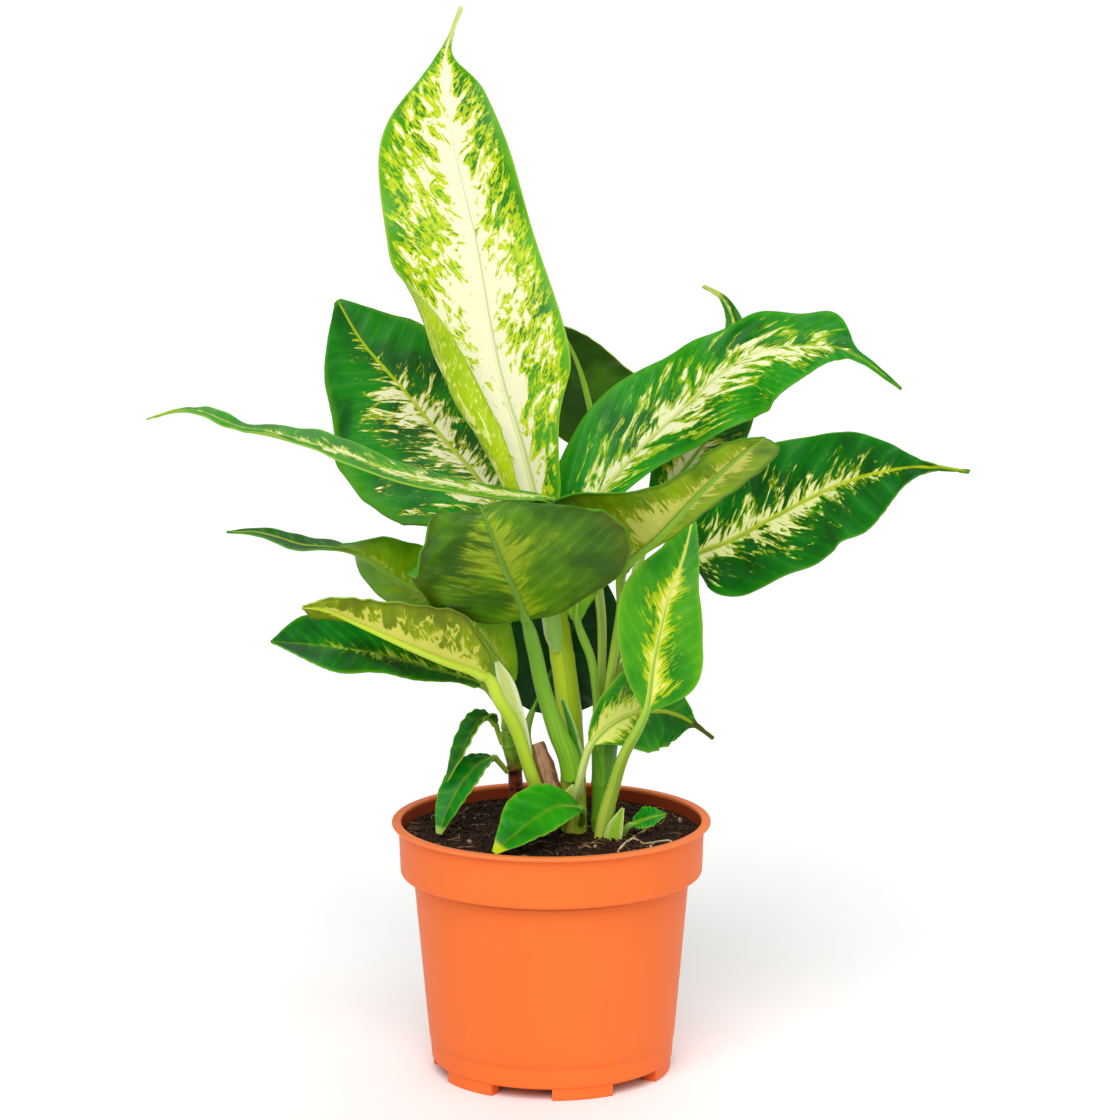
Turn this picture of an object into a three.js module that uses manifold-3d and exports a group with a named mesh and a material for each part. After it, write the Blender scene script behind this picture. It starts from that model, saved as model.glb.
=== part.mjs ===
// A potted dieffenbachia: a 12 cm nursery pot with its soil, three canes and twenty leaves.
// Millimetres, +Z up, the origin under the middle of the pot on the surface that it stands on.
// The plant is seen from -Y in its best view, with +X to the right.
import * as THREE from "three";
import { mergeVertices } from "three/addons/utils/BufferGeometryUtils.js";
import Module from "manifold-3d";

const wasm = await Module();
wasm.setup();

// Pot
const potSides = 48;
const footHeight = 4.4;
const footCount = 6;
const footArc = Math.PI / 6;
const footRing = { inner: 39.5, outer: 45 };
const baseRadius = 45.7;
const baseThickness = 1.8;
const baseRound = 1.5;
const crease = { foot: 7.6, head: 8.4, step: 0.4 };
const bodyTopRadius = 52;
const collarRadius = 56.9;
const collarTopRadius = 57.5;
const rimRadius = 60;
const wall = 1;
const shoulderFoot = 75.2;
const shoulderHead = 77.6;
const lip = { foot: 94.7, round: 0.7 };
const potHeight = 96.2;
const drainHole = { count: 6, radius: 4.5, ring: 31 };

// Soil
const soilLevel = 91;
const soilMound = 0.4;
const soilRings = 9;
const soilSides = 36;
const lumpHeight = 0.7;

// Clearance between pieces that rest against each other
const seatGap = 0.3;

const stemClearance = 0.15;
const soilClearance = 0.1;

// Leaf
const degree = Math.PI / 180;
const bladeThickness = 0.8;
const ribReach = 4;
const innerShare = 0.3;
const tipCrowding = 0.4;
const leafDefaults = {
  lanes: 3,
  steps: 12,
  rib: 1.8,
  fold: 8,
  flat: 0,
  curlLeft: 0,
  curlRight: 0,
  sweepLeft: 0,
  sweepRight: 0,
  wave: { height: 0, count: 3 },
};

const material = (color, roughness = 0.45) =>
  new THREE.MeshStandardMaterial({ color, roughness, metalness: 0, side: THREE.DoubleSide });
const finish = {
  terracotta: material("#e8652d", 0.4),
  soil: material("#2b1c12", 1),
  caneGreen: material("#9fbf2e", 0.45),
  caneBrown: material("#7b4a2c", 0.8),
  driedBrown: material("#a9805f", 0.9),
  darkLeaf: material("#1f7a1c", 0.35),
  brightLeaf: material("#55a51e", 0.35),
  creamLeaf: material("#a9c25a", 0.35),
  oliveLeaf: material("#5d7a22", 0.5),
};

// Smooth value at share u of the way through evenly spaced values; a single value holds all along.
function along(values, u) {
  if (typeof values === "number") return values;
  const last = values.length - 1;
  const place = Math.min(Math.max(u, 0), 1) * last;
  const i = Math.min(Math.floor(place), last - 1);
  const t = place - i;
  const at = (k) => values[Math.min(Math.max(k, 0), last)];
  const [a, b, c, d] = [at(i - 1), at(i), at(i + 1), at(i + 2)];
  return b + 0.5 * t * (c - a + t * (2 * a - 5 * b + 4 * c - d + t * (3 * (b - c) + d - a)));
}

const pointAlong = (points, u) =>
  new THREE.Vector3(...[0, 1, 2].map((axis) => along(points.map((p) => p[axis]), u)));

function solidOf(geometry) {
  const bare = geometry.clone();
  bare.deleteAttribute("normal");
  bare.deleteAttribute("uv");
  const merged = mergeVertices(bare, 1e-4);
  return new wasm.Manifold(
    new wasm.Mesh({
      numProp: 3,
      vertProperties: new Float32Array(merged.attributes.position.array),
      triVerts: new Uint32Array(merged.index.array),
    }),
  );
}

function geometryOf(solid) {
  const { vertProperties, triVerts } = solid.getMesh();
  const geometry = new THREE.BufferGeometry();
  geometry.setAttribute("position", new THREE.BufferAttribute(vertProperties, 3));
  geometry.setIndex(new THREE.BufferAttribute(triVerts, 1));
  geometry.computeVertexNormals();
  return geometry;
}

function named(name, geometry, surface) {
  const mesh = new THREE.Mesh(geometry, surface);
  mesh.name = name;
  return mesh;
}

// A profile of radius and height turned round the pot's upright axis.
function turned(profile, sides) {
  return new THREE.LatheGeometry(profile, sides).rotateX(Math.PI / 2);
}

// Closed skin over rings of matching upper and lower rows, which are split into triangles alike.
function skinGeometry(rings) {
  const columns = rings[0].upper.length;
  const positions = rings.flatMap((ring) => [...ring.upper, ...ring.lower].flatMap((p) => p.toArray()));
  const upper = (i, j) => i * 2 * columns + j;
  const lower = (i, j) => upper(i, j) + columns;
  const triangles = [];
  const quad = (a, b, c, d) => triangles.push(a, c, b, a, d, c);
  for (let j = 0; j < columns - 1; j++) {
    quad(upper(0, j), upper(0, j + 1), lower(0, j + 1), lower(0, j));
    const end = rings.length - 1;
    quad(upper(end, j), lower(end, j), lower(end, j + 1), upper(end, j + 1));
  }
  for (let i = 0; i < rings.length - 1; i++) {
    for (let j = 0; j < columns - 1; j++) {
      quad(upper(i, j), upper(i + 1, j), upper(i + 1, j + 1), upper(i, j + 1));
      triangles.push(lower(i, j), lower(i + 1, j), lower(i + 1, j + 1));
      triangles.push(lower(i, j), lower(i + 1, j + 1), lower(i, j + 1));
    }
    quad(upper(i, 0), lower(i, 0), lower(i + 1, 0), upper(i + 1, 0));
    const right = columns - 1;
    quad(upper(i, right), upper(i + 1, right), lower(i + 1, right), lower(i, right));
  }
  const geometry = new THREE.BufferGeometry();
  geometry.setAttribute("position", new THREE.Float32BufferAttribute(positions, 3));
  geometry.setIndex(triangles);
  geometry.computeVertexNormals();
  return geometry;
}

// Axes across a line at share u: right and up, as seen on the upper face with the tip ahead.
function frameAt(points, u, face) {
  const step = 0.004;
  const ahead = pointAlong(points, u + step).sub(pointAlong(points, u - step)).normalize();
  const up = face.clone().addScaledVector(ahead, -face.dot(ahead)).normalize();
  return { origin: pointAlong(points, u), ahead, right: new THREE.Vector3().crossVectors(ahead, up), up };
}

function roundRing(frame, radius, columns) {
  const row = (sign) =>
    Array.from({ length: columns }, (_, j) => {
      const angle = Math.PI * (1 - (j + 0.5) / columns);
      return frame.origin
        .clone()
        .addScaledVector(frame.right, radius * Math.cos(angle))
        .addScaledVector(frame.up, sign * radius * Math.sin(angle));
    });
  return { upper: row(1), lower: row(-1) };
}

// Where the share t of a half blade lies: flat up to `flat`, then bending round by `curl` in all.
function across(t, width, fold, curl, flat) {
  const straight = Math.min(t, flat) * width;
  const bent = Math.max(t - flat, 0) * width;
  const turn = (curl * Math.max(t - flat, 0)) / (1 - flat) || 1e-6;
  return {
    out: straight * Math.cos(fold) + (bent * (Math.sin(fold + turn) - Math.sin(fold))) / turn,
    rise: straight * Math.sin(fold) + (bent * (Math.cos(fold) - Math.cos(fold + turn))) / turn,
    slope: fold + turn,
  };
}

function bladeRing(leaf, frame, u, ribDepth) {
  const { lanes, wave } = leaf;
  const rows = { upper: [], lower: [] };
  for (let j = -lanes; j <= lanes; j++) {
    const side = Math.sign(j);
    const width = along(side < 0 ? leaf.left : leaf.right, u);
    const inner = Math.min(innerShare, ribReach / width);
    const t = j === 0 ? 0 : inner + ((1 - inner) * (Math.abs(j) - 1)) / (lanes - 1);
    const curl = along(side < 0 ? leaf.curlLeft : leaf.curlRight, u) * degree;
    const fold = along(leaf.fold, u) * degree;
    const sweep = side < 0 ? leaf.sweepLeft : leaf.sweepRight;
    const place = across(t, width, fold, curl, leaf.flat);
    const ripple = wave.height * t * t * Math.sin(2 * Math.PI * wave.count * u + side) * Math.sin(Math.PI * u);
    const middle = frame.origin
      .clone()
      .addScaledVector(frame.ahead, -sweep * place.out * t)
      .addScaledVector(frame.right, side * place.out)
      .addScaledVector(frame.up, place.rise + ripple);
    const normal = frame.up
      .clone()
      .multiplyScalar(Math.cos(place.slope))
      .addScaledVector(frame.right, -side * Math.sin(place.slope));
    const rib = j === 0 ? ribDepth : 0;
    rows.upper.push(middle.clone().addScaledVector(normal, bladeThickness / 2));
    rows.lower.push(middle.clone().addScaledVector(normal, -bladeThickness / 2 - rib));
  }
  return rows;
}

// A leaf is one closed sweep: round along its stalk, then flat and wide along its blade.
function leafGeometry(values) {
  const leaf = { ...leafDefaults, ...values };
  const line = [...leaf.stalk, ...leaf.spine];
  const base = leaf.stalk.length / (line.length - 1);
  const columns = 2 * leaf.lanes + 1;
  const face = (u) => pointAlong(leaf.face, u);
  const rings = [];
  const stalkSteps = 2 * leaf.stalk.length;
  for (let i = 0; i < stalkSteps; i++) {
    const share = i / stalkSteps;
    const frame = frameAt(line, share * base, face(0));
    rings.push(roundRing(frame, along(leaf.stalkRadius, share), columns));
  }
  for (let i = 0; i <= leaf.steps; i++) {
    const even = i / leaf.steps;
    const u = (1 - tipCrowding) * even + (tipCrowding * (1 - Math.cos(Math.PI * even))) / 2;
    const frame = frameAt(line, base + (1 - base) * u, face(u));
    rings.push(bladeRing(leaf, frame, u, leaf.rib * (1 - u)));
  }
  return skinGeometry(rings);
}

function caneGeometry({ line, radius, steps = 10 }) {
  const face = new THREE.Vector3(0, -1, 0);
  const rings = [];
  for (let i = 0; i <= steps; i++) {
    rings.push(roundRing(frameAt(line, i / steps, face), along(radius, i / steps), 5));
  }
  return skinGeometry(rings);
}

// Canes: each centre line runs from its foot in the soil up to where its leaf stalks stand on it.
const canes = {
  cane_main: {
    line: [[8.6, 2, 66], [8.6, 2, 84], [8.4, 3, 106], [7, 5, 135], [4, 7, 159], [2.2, 8, 171], [2, 8, 178]],
    radius: [4.6, 4.8, 4.8, 4.8, 4.6, 4.6, 4.6],
    surface: "caneGreen",
  },
  cane_right: {
    line: [[19.3, 2, 66], [19.3, 2, 84], [20, 2, 107], [20, 2, 128]],
    radius: [4.2, 4.4, 4.8, 5],
    surface: "caneGreen",
  },
  cane_left: {
    line: [[-12, 14, 70], [-12, 14, 87], [-13, 13, 100], [-14, 12, 114], [-15.9, 11, 124], [-16, 11, 128]],
    radius: [3, 3.2, 3, 2.8, 2.8, 2.8],
    surface: "caneBrown",
  },
};

// First two points of a stalk that stands upright on a cane's top, at a bearing round its axis.
function standOn(caneName, bearing, ring) {
  const { line } = canes[caneName];
  const [x, y, z] = line[line.length - 1];
  const foot = [x + ring * Math.cos(bearing * degree), y + ring * Math.sin(bearing * degree)];
  return [[...foot, z + seatGap + 0.1], [...foot, z + 6]];
}

// Leaves: stalk from foot to blade, spine along the midrib, and half widths from base to tip.
const leaves = {
  leaf_top: {
    stalk: [...standOn("cane_main", 200, 2.8), [-2.5, 7, 189], [-3, 3.5, 199]],
    stalkRadius: [1.7, 2.2],
    spine: [
      [-4, 0.5, 211], [-11, 6, 239], [-17, 13, 257], [-22, 22, 278], [-28, 36, 311],
      [-36, 48, 344], [-38, 54, 364], [-39, 58, 380], [-33, 60, 397],
    ],
    face: [[0, -1, 0.3], [0, -1, 0.35]],
    left: [14, 28, 37, 41, 34, 29, 17, 2.6, 0.6],
    right: [9, 15, 26, 27, 22, 20, 14, 2.4, 0.6],
    fold: [14, 10, 8, 8, 8],
    curlLeft: [150, 215, 205, 150, 20, 0, 0, 0, 0],
    flat: 0.38,
    lanes: 8,
    steps: 18,
    wave: { height: 2, count: 3.5 },
    surface: "creamLeaf",
  },
  leaf_back_left: {
    stalk: [...standOn("cane_main", 115, 2.9), [-4.5, 13, 192], [-11, 18, 201]],
    stalkRadius: [1.7, 2],
    spine: [[-19, 22, 210], [-29, 36, 222], [-42, 54, 234], [-58, 70, 251], [-73, 80, 267], [-83, 86, 283]],
    face: [[0.1, -0.7, 0.7], [0.1, -0.7, 0.7]],
    left: [16, 39, 46, 44, 26, 1.5],
    right: [7, 19, 25, 27, 20, 1.5],
    sweepLeft: 0.4,
    wave: { height: 1.5, count: 3 },
    surface: "darkLeaf",
  },
  leaf_long_left: {
    stalk: [...standOn("cane_main", 290, 3), [4, -1, 195], [5, -9, 209]],
    stalkRadius: [1.7, 1.8],
    spine: [
      [2, -16, 220], [-25, -31, 226], [-54, -36, 233], [-79, -36, 242], [-99, -30, 247],
      [-114, -24, 249], [-126, -18, 253], [-137, -12, 253], [-148, -6, 249],
    ],
    face: [[0, -0.08, 1], [0, -0.08, 1]],
    left: [6, 18, 16, 9, 6, 3, 5, 4, 0.6],
    right: [3, 12, 16, 14, 12, 5, 6, 4, 0.6],
    fold: 3,
    wave: { height: 0.8, count: 3 },
    surface: "creamLeaf",
  },
  leaf_front: {
    stalk: [[8, -6.1, 113], [6.4, -7.4, 122], [2, -11, 133], [-3, -16, 150], [-6, -21, 165]],
    stalkRadius: [4.2, 4, 3.2, 2.8, 2.6],
    spine: [[-9, -28, 178], [-13, -44, 192], [-18, -57, 206], [-22, -66, 219], [-25, -62, 225], [-26, -54, 221]],
    face: [[0.1, 0.9, 0.3], [0, 0.9, 0.3], [0, 0.5, -1]],
    left: [12, 38, 46, 40, 24, 3],
    right: [18, 31, 34, 33, 24, 3],
    sweepLeft: 0.3,
    sweepRight: 0.3,
    fold: 4,
    curlLeft: 14,
    curlRight: 4,
    steps: 14,
    lanes: 4,
    wave: { height: 1.5, count: 3 },
    surface: "oliveLeaf",
  },
  leaf_mid_left: {
    stalk: standOn("cane_left", 20, 1.7),
    stalkRadius: [1.4, 1.6],
    spine: [
      [-15, 8, 146], [-27, 3, 166], [-41, -2, 180], [-56, -6, 189], [-67, -8, 197],
      [-76, -8, 201], [-91, -7, 202], [-107, -4, 206], [-120, -1, 206],
    ],
    face: [[0.2, 0.8, 0.5], [0, 0.8, 0.5], [0, 0.6, 0.7], [0, -0.25, 1], [0, -0.25, 1]],
    left: [4, 14, 19, 18, 14, 8, 7, 3.5, 0.6],
    right: [4, 12, 15, 14, 11, 7, 6, 3.5, 0.6],
    surface: "brightLeaf",
  },
  leaf_low_left: {
    stalk: [[3.2, -2.1, 94.5], [-1, -5, 102], [-6, -8, 111], [-13, -15, 134], [-19, -20, 146]],
    stalkRadius: [2.6, 2.4],
    spine: [[-24, -22, 156], [-39, -32, 164], [-53, -42, 172], [-70, -52, 182], [-80, -60, 188], [-88, -66, 190]],
    face: [[0, 0.3, 1], [0, 0.8, 0.6]],
    left: [6, 18, 16, 11, 8, 0.6],
    right: [6, 16, 16, 12, 8, 0.6],
    fold: [60, 58, 48, 25, 5, 0],
    surface: "oliveLeaf",
  },
  leaf_low_left_dark: {
    stalk: [...standOn("cane_left", 200, 1.7), [-21, 7, 141]],
    stalkRadius: [1.4, 1.6],
    spine: [[-27, 2, 148], [-45, -10, 156], [-66, -24, 165], [-86, -36, 170], [-101, -44, 173]],
    face: [[0, -0.5, 0.87], [0, -0.45, 0.87]],
    left: [4, 10, 18, 20, 0.6],
    right: [4, 16, 20, 15, 0.6],
    fold: 10,
    surface: "darkLeaf",
  },
  leaf_droop_upper: {
    stalk: [[-18.5, 8.4, 123], [-20, 7, 128]],
    stalkRadius: [0.9, 1.1],
    spine: [[-21, 4, 132], [-24, 1, 135], [-28, -2, 132], [-33, -5, 123], [-39, -8, 112]],
    face: [[0, -0.1, 1], [-0.7, -0.5, 0.3]],
    left: [1.5, 4.5, 6, 5, 0.6],
    right: [1.5, 4.5, 6, 5, 0.6],
    fold: 30,
    lanes: 2,
    steps: 9,
    rib: 0.8,
    surface: "brightLeaf",
  },
  leaf_droop_lower: {
    stalk: [[-16.6, 9.4, 112], [-20, 6, 117]],
    stalkRadius: [1, 1.2],
    spine: [[-22, 4, 119], [-27, 0, 117], [-33, -4, 111], [-38, -8, 103], [-42, -12, 93.2]],
    face: [[-0.2, -0.3, 1], [-0.5, -0.85, 0.2]],
    left: [2, 6.5, 7.5, 5.5, 1.2],
    right: [2, 6.5, 7.5, 5.5, 1.2],
    fold: 18,
    lanes: 2,
    steps: 9,
    rib: 0.8,
    surface: "brightLeaf",
  },
  leaf_front_low: {
    stalk: [[11.3, -2.9, 95], [12, -8, 100]],
    stalkRadius: [1.4, 1.4],
    spine: [[10, -14, 104], [2, -22, 106], [-7, -31, 103], [-14, -38, 99], [-21, -43, 94]],
    face: [[0, -0.7, 0.7], [-0.1, -0.7, 0.7]],
    left: [3, 8, 9, 6, 1],
    right: [3, 11, 12, 7, 1],
    lanes: 2,
    steps: 9,
    rib: 0.8,
    surface: "brightLeaf",
  },
  leaf_small_right: {
    stalk: [[25, -7, 76], [26, -7, 88], [28, -8, 94]],
    stalkRadius: [1.3, 1.3],
    spine: [[31, -8, 96], [36, -9, 98], [43, -9, 100]],
    face: [[0, -0.5, 0.85], [0, -0.5, 0.85]],
    left: [3, 6, 0.6],
    right: [2.5, 5.5, 0.6],
    lanes: 2,
    steps: 7,
    rib: 0.6,
    surface: "brightLeaf",
  },
  leaf_front_right: {
    stalk: [[19, -8, 74], [19, -8, 88], [20, -9, 98], [23, -11, 110], [27, -16, 124]],
    stalkRadius: [3, 3.2, 2.8, 2.2, 1.8],
    spine: [[35, -22, 142], [38, -22, 161], [43, -20, 183], [49, -14, 199], [53, -4, 213]],
    face: [[0.1, -1, 0.1], [0.1, -1, 0.2]],
    left: [2, 8, 13, 17, 18, 14, 9, 6, 0.6],
    right: [2, 15, 18, 16, 13, 9, 6, 3, 0.6],
    fold: 10,
    surface: "brightLeaf",
  },
  leaf_right_under: {
    stalk: [...standOn("cane_right", -80, 3.2), [22, -3, 150], [26, -7, 177]],
    stalkRadius: [1.5, 1.9],
    spine: [[27, -14, 194], [40, -32, 210], [53, -50, 228], [67, -70, 245], [74, -86, 253]],
    face: [[0.1, 0.6, 0.8], [0.1, 0.6, 0.8]],
    left: [2, 3, 6, 9, 12, 13, 10, 0.6],
    right: [14, 36, 38, 17, 10, 9, 5, 0.6],
    sweepRight: 0.15,
    surface: "oliveLeaf",
  },
  leaf_upper_right: {
    stalk: [...standOn("cane_right", 130, 3.2), [19, 5, 150], [19, 8, 172], [16, 11, 193]],
    stalkRadius: [1.5, 2],
    spine: [
      [12, 13, 207], [30, 17.5, 230], [49, 20, 248], [64, 20, 262],
      [80, 18, 271], [104, 12, 273], [117, 8, 268], [130, 4, 258],
    ],
    face: [[-0.3, -0.8, 0.5], [-0.2, -0.8, 0.5]],
    left: [15, 21, 25, 26, 23, 19, 16, 14.5, 13.5, 13, 10.5, 3.5, 2.2, 1.4, 0.6],
    right: [4, 7, 10, 14, 19, 22, 24, 26, 25, 17, 7, 3, 2.2, 1.4, 0.6],
    fold: 8,
    wave: { height: 1.5, count: 3.5 },
    steps: 18,
    surface: "darkLeaf",
  },
  leaf_right: {
    stalk: [...standOn("cane_right", -10, 3.2), [27, 5, 152], [38, 10, 176]],
    stalkRadius: [1.5, 2],
    spine: [
      [52, 12, 193], [67, 5, 201], [85, -6, 213], [104, -18, 225],
      [119, -30, 232], [135, -42, 236], [149, -54, 236],
    ],
    face: [[-0.1, -0.85, 0.5], [-0.1, -0.85, 0.5]],
    left: [8, 25, 26, 21, 13, 1.5, 0.6],
    right: [12, 23, 25, 25, 21, 3, 0.6],
    wave: { height: 2, count: 4 },
    steps: 14,
    surface: "darkLeaf",
  },
  leaf_back: {
    stalk: [...standOn("cane_main", 25, 3), [6, 13, 191], [10, 26, 200], [16, 45, 213]],
    stalkRadius: [1.7, 1.8],
    spine: [[19, 60, 227], [16, 66, 242], [12, 68, 257], [7, 66, 269], [3, 60, 276]],
    face: [[0.2, 1, 0.2], [0.2, 1, 0.2]],
    left: [8, 24, 15, 7, 0.6],
    right: [8, 20, 20, 12, 0.6],
    surface: "oliveLeaf",
  },
  leaf_back_right: {
    stalk: [...standOn("cane_right", 60, 3.2), [24, 9, 152], [32, 20, 185]],
    stalkRadius: [1.5, 1.9],
    spine: [
      [40, 30, 210], [51, 38, 223], [62, 48, 237], [69, 60, 255], [72, 72, 271], [68, 80, 283], [60, 88, 288],
    ],
    face: [[-0.2, -0.8, 0.5], [-0.2, -0.8, 0.5]],
    left: [4, 15, 19, 16, 5, 1.4, 0.6],
    right: [4, 14, 15, 12, 5, 1.8, 0.6],
    surface: "darkLeaf",
  },
  leaf_low_right: {
    stalk: [[8.3, -4.3, 102], [9, -9, 107], [10.5, -13, 113], [12, -14.5, 120]],
    stalkRadius: [1.9, 1.6, 1.5],
    spine: [
      [15, -14, 128], [23, -8, 135], [33, -2, 139], [43, 2, 139],
      [48, 3, 136.5], [51, 3, 134.5], [54, 3, 132], [61, 3, 126],
    ],
    face: [[0.2, -1, 0], [0, -1, 0]],
    left: [3, 12, 19, 13, 7, 4, 1.4, 0.6],
    right: [2, 10, 17, 15, 11, 7, 1.4, 0.6],
    surface: "brightLeaf",
  },
  leaf_inner_left: {
    stalk: [[3.3, 5.8, 101], [-1, 8.5, 106], [-6, 11, 114], [-9, 13, 125]],
    stalkRadius: [1.4, 1.5],
    spine: [[-7, 17, 134], [-1, 20, 146], [6, 22, 160], [12, 22, 175], [17, 21, 190]],
    face: [[-0.1, -1, 0.2], [0, -1, 0.1]],
    left: [7, 19, 22, 16, 0.6],
    right: [9, 21, 22, 16, 0.6],
    lanes: 3,
    steps: 12,
    surface: "darkLeaf",
  },
  leaf_inner_right: {
    stalk: [...standOn("cane_right", 205, 3.2), [17, 0, 143], [15, -3, 158]],
    stalkRadius: [1.5, 1.7],
    spine: [[10, -7, 173], [10, -9, 186], [11, -12, 200], [14, -13, 214]],
    face: [[0, 1, 0.1], [0, 1, 0.1]],
    left: [2, 8, 7, 0.6],
    right: [2, 8, 7, 0.6],
    lanes: 2,
    steps: 8,
    surface: "brightLeaf",
  },
};

// Papery remnant of an old leaf base, curled against the main cane.
const driedSheath = {
  stalk: [],
  spine: [[2.8, -1.6, 101], [-0.4, -2.4, 110], [-3.2, -3.4, 118], [-5.5, -3.2, 126]],
  face: [[0.9, 0.2, 0.3], [0.9, 0.2, 0.3]],
  left: [2, 4.5, 4.5, 1.5],
  right: [2, 4.5, 4.5, 1.5],
  curlLeft: 60,
  curlRight: 60,
  lanes: 2,
  steps: 6,
  rib: 0,
};

// Height of the soil's top at a radius and an angle: a low mound with lumps.
function soilHeight(radius, angle, reach) {
  const mound = soilMound * (1 - (radius / reach) ** 2);
  const lumps = Math.sin(radius * 0.42 + 3 * angle) * Math.cos(radius * 0.25 - 5 * angle + 1);
  return soilLevel + mound + lumpHeight * lumps * Math.min(1, (reach - radius) / 6);
}

function potProfile() {
  const floor = footHeight + baseThickness;
  const path = new THREE.Path();
  path.moveTo(0, footHeight);
  path.lineTo(baseRadius - baseRound, footHeight);
  path.quadraticCurveTo(baseRadius, footHeight, baseRadius, footHeight + baseRound);
  path.lineTo(baseRadius + crease.step, footHeight + crease.foot);
  path.lineTo(baseRadius + 2 * crease.step, footHeight + crease.head);
  path.lineTo(bodyTopRadius, shoulderFoot);
  path.lineTo(collarRadius - 1.2, shoulderFoot + 0.8);
  path.quadraticCurveTo(collarRadius, shoulderFoot + 0.9, collarRadius, shoulderHead);
  path.lineTo(collarTopRadius, lip.foot);
  path.lineTo(rimRadius - lip.round, lip.foot);
  path.quadraticCurveTo(rimRadius, lip.foot, rimRadius, lip.foot + lip.round);
  path.quadraticCurveTo(rimRadius, potHeight, rimRadius - lip.round, potHeight);
  path.lineTo(collarTopRadius - wall + lip.round, potHeight);
  path.quadraticCurveTo(collarTopRadius - wall, potHeight, collarTopRadius - wall, potHeight - lip.round);
  path.lineTo(collarRadius - wall, shoulderHead);
  path.lineTo(bodyTopRadius - wall, shoulderFoot + wall - 0.2);
  path.lineTo(baseRadius + 2 * crease.step - wall, footHeight + crease.head);
  path.lineTo(baseRadius - wall, floor + 1.2);
  path.lineTo(baseRadius - wall - 1.2, floor);
  path.lineTo(0, floor);
  path.lineTo(0, footHeight);
  return path.getPoints(3);
}

function footGeometry(start) {
  const shape = new THREE.Shape();
  shape.absarc(0, 0, footRing.outer, start, start + footArc, false);
  shape.absarc(0, 0, footRing.inner, start + footArc, start, true);
  return new THREE.ExtrudeGeometry(shape, { depth: footHeight + 0.5, bevelEnabled: false, curveSegments: 4 });
}

function potGeometry() {
  let solid = solidOf(turned(potProfile(), potSides));
  for (let i = 0; i < footCount; i++) {
    solid = solid.add(solidOf(footGeometry(-Math.PI / 2 + 2 * i * footArc)));
  }
  for (let i = 0; i < drainHole.count; i++) {
    const bearing = ((i + 0.5) * 2 * Math.PI) / drainHole.count;
    const drill = new THREE.CylinderGeometry(drainHole.radius, drainHole.radius, 12, 12)
      .rotateX(Math.PI / 2)
      .translate(drainHole.ring * Math.cos(bearing), drainHole.ring * Math.sin(bearing), footHeight);
    solid = solid.subtract(solidOf(drill));
  }
  return geometryOf(solid);
}

// The soil fills the pot, with a plain hole for each cane and stalk that stands in it.
function soilGeometry() {
  const floor = footHeight + baseThickness + seatGap;
  const inset = wall + seatGap + soilClearance;
  const sides = [
    [baseRadius - inset - 1.2, floor],
    [baseRadius - inset, floor + 1.2],
    [baseRadius + 2 * crease.step - inset, footHeight + crease.head],
    [bodyTopRadius - inset, shoulderFoot + wall + 0.2],
    [collarRadius - inset - 0.1, shoulderHead + 0.4],
  ];
  const reach = collarTopRadius - inset - 0.1;
  const positions = [];
  const triangles = [];
  const rows = [];
  const addRow = (radius, height) => {
    const row = [];
    for (let k = 0; k < soilSides; k++) {
      const angle = (2 * Math.PI * k) / soilSides;
      row.push(positions.length / 3);
      positions.push(radius * Math.cos(angle), radius * Math.sin(angle), height(angle));
    }
    rows.push(row);
  };
  positions.push(0, 0, floor, 0, 0, soilHeight(0, 0, reach));
  for (const [radius, height] of sides) addRow(radius, () => height);
  for (let i = soilRings; i >= 1; i--) {
    const radius = (reach * i) / soilRings;
    addRow(radius, (angle) => soilHeight(radius, angle, reach));
  }
  for (let k = 0; k < soilSides; k++) {
    const next = (k + 1) % soilSides;
    triangles.push(0, rows[0][next], rows[0][k]);
    triangles.push(1, rows[rows.length - 1][k], rows[rows.length - 1][next]);
    for (let i = 0; i < rows.length - 1; i++) {
      triangles.push(rows[i][k], rows[i][next], rows[i + 1][next]);
      triangles.push(rows[i][k], rows[i + 1][next], rows[i + 1][k]);
    }
  }
  const geometry = new THREE.BufferGeometry();
  geometry.setAttribute("position", new THREE.Float32BufferAttribute(positions, 3));
  geometry.setIndex(triangles);
  let solid = solidOf(geometry);
  const standing = Object.values(canes);
  for (const name of ["leaf_front_right", "leaf_small_right"]) {
    const { stalk, stalkRadius } = leaves[name];
    standing.push({ line: stalk, radius: stalkRadius, steps: 6 });
  }
  for (const stem of standing) solid = solid.subtract(solidOf(holeGeometry(stem)));
  return geometryOf(solid);
}

// A plain hole follows the stem's foot, a little wider and a little deeper than it.
function holeGeometry({ line, radius }) {
  const foot = line[0];
  const wide = Math.max(along(radius, 0), along(radius, 0.3)) + seatGap + stemClearance;
  const top = line.find((point) => point[2] > soilLevel + soilMound + 2);
  const bottom = [foot[0], foot[1], foot[2] - seatGap];
  return caneGeometry({ line: [bottom, ...line.slice(1, line.indexOf(top) + 1)], radius: wide, steps: 6 });
}

const plant = new THREE.Group();
plant.add(named("pot", potGeometry(), finish.terracotta));
plant.add(named("soil", soilGeometry(), finish.soil));
for (const [name, cane] of Object.entries(canes)) {
  plant.add(named(name, caneGeometry(cane), finish[cane.surface]));
}
for (const [name, leaf] of Object.entries(leaves)) {
  plant.add(named(name, leafGeometry(leaf), finish[leaf.surface]));
}
plant.add(named("dried_sheath", leafGeometry(driedSheath), finish.driedBrown));

export default plant;
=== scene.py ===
import random
from math import cos, exp, hypot, pi, sin, sqrt
from types import SimpleNamespace

import bmesh
import bpy
from mathutils import Euler, Matrix, Vector, noise


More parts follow.
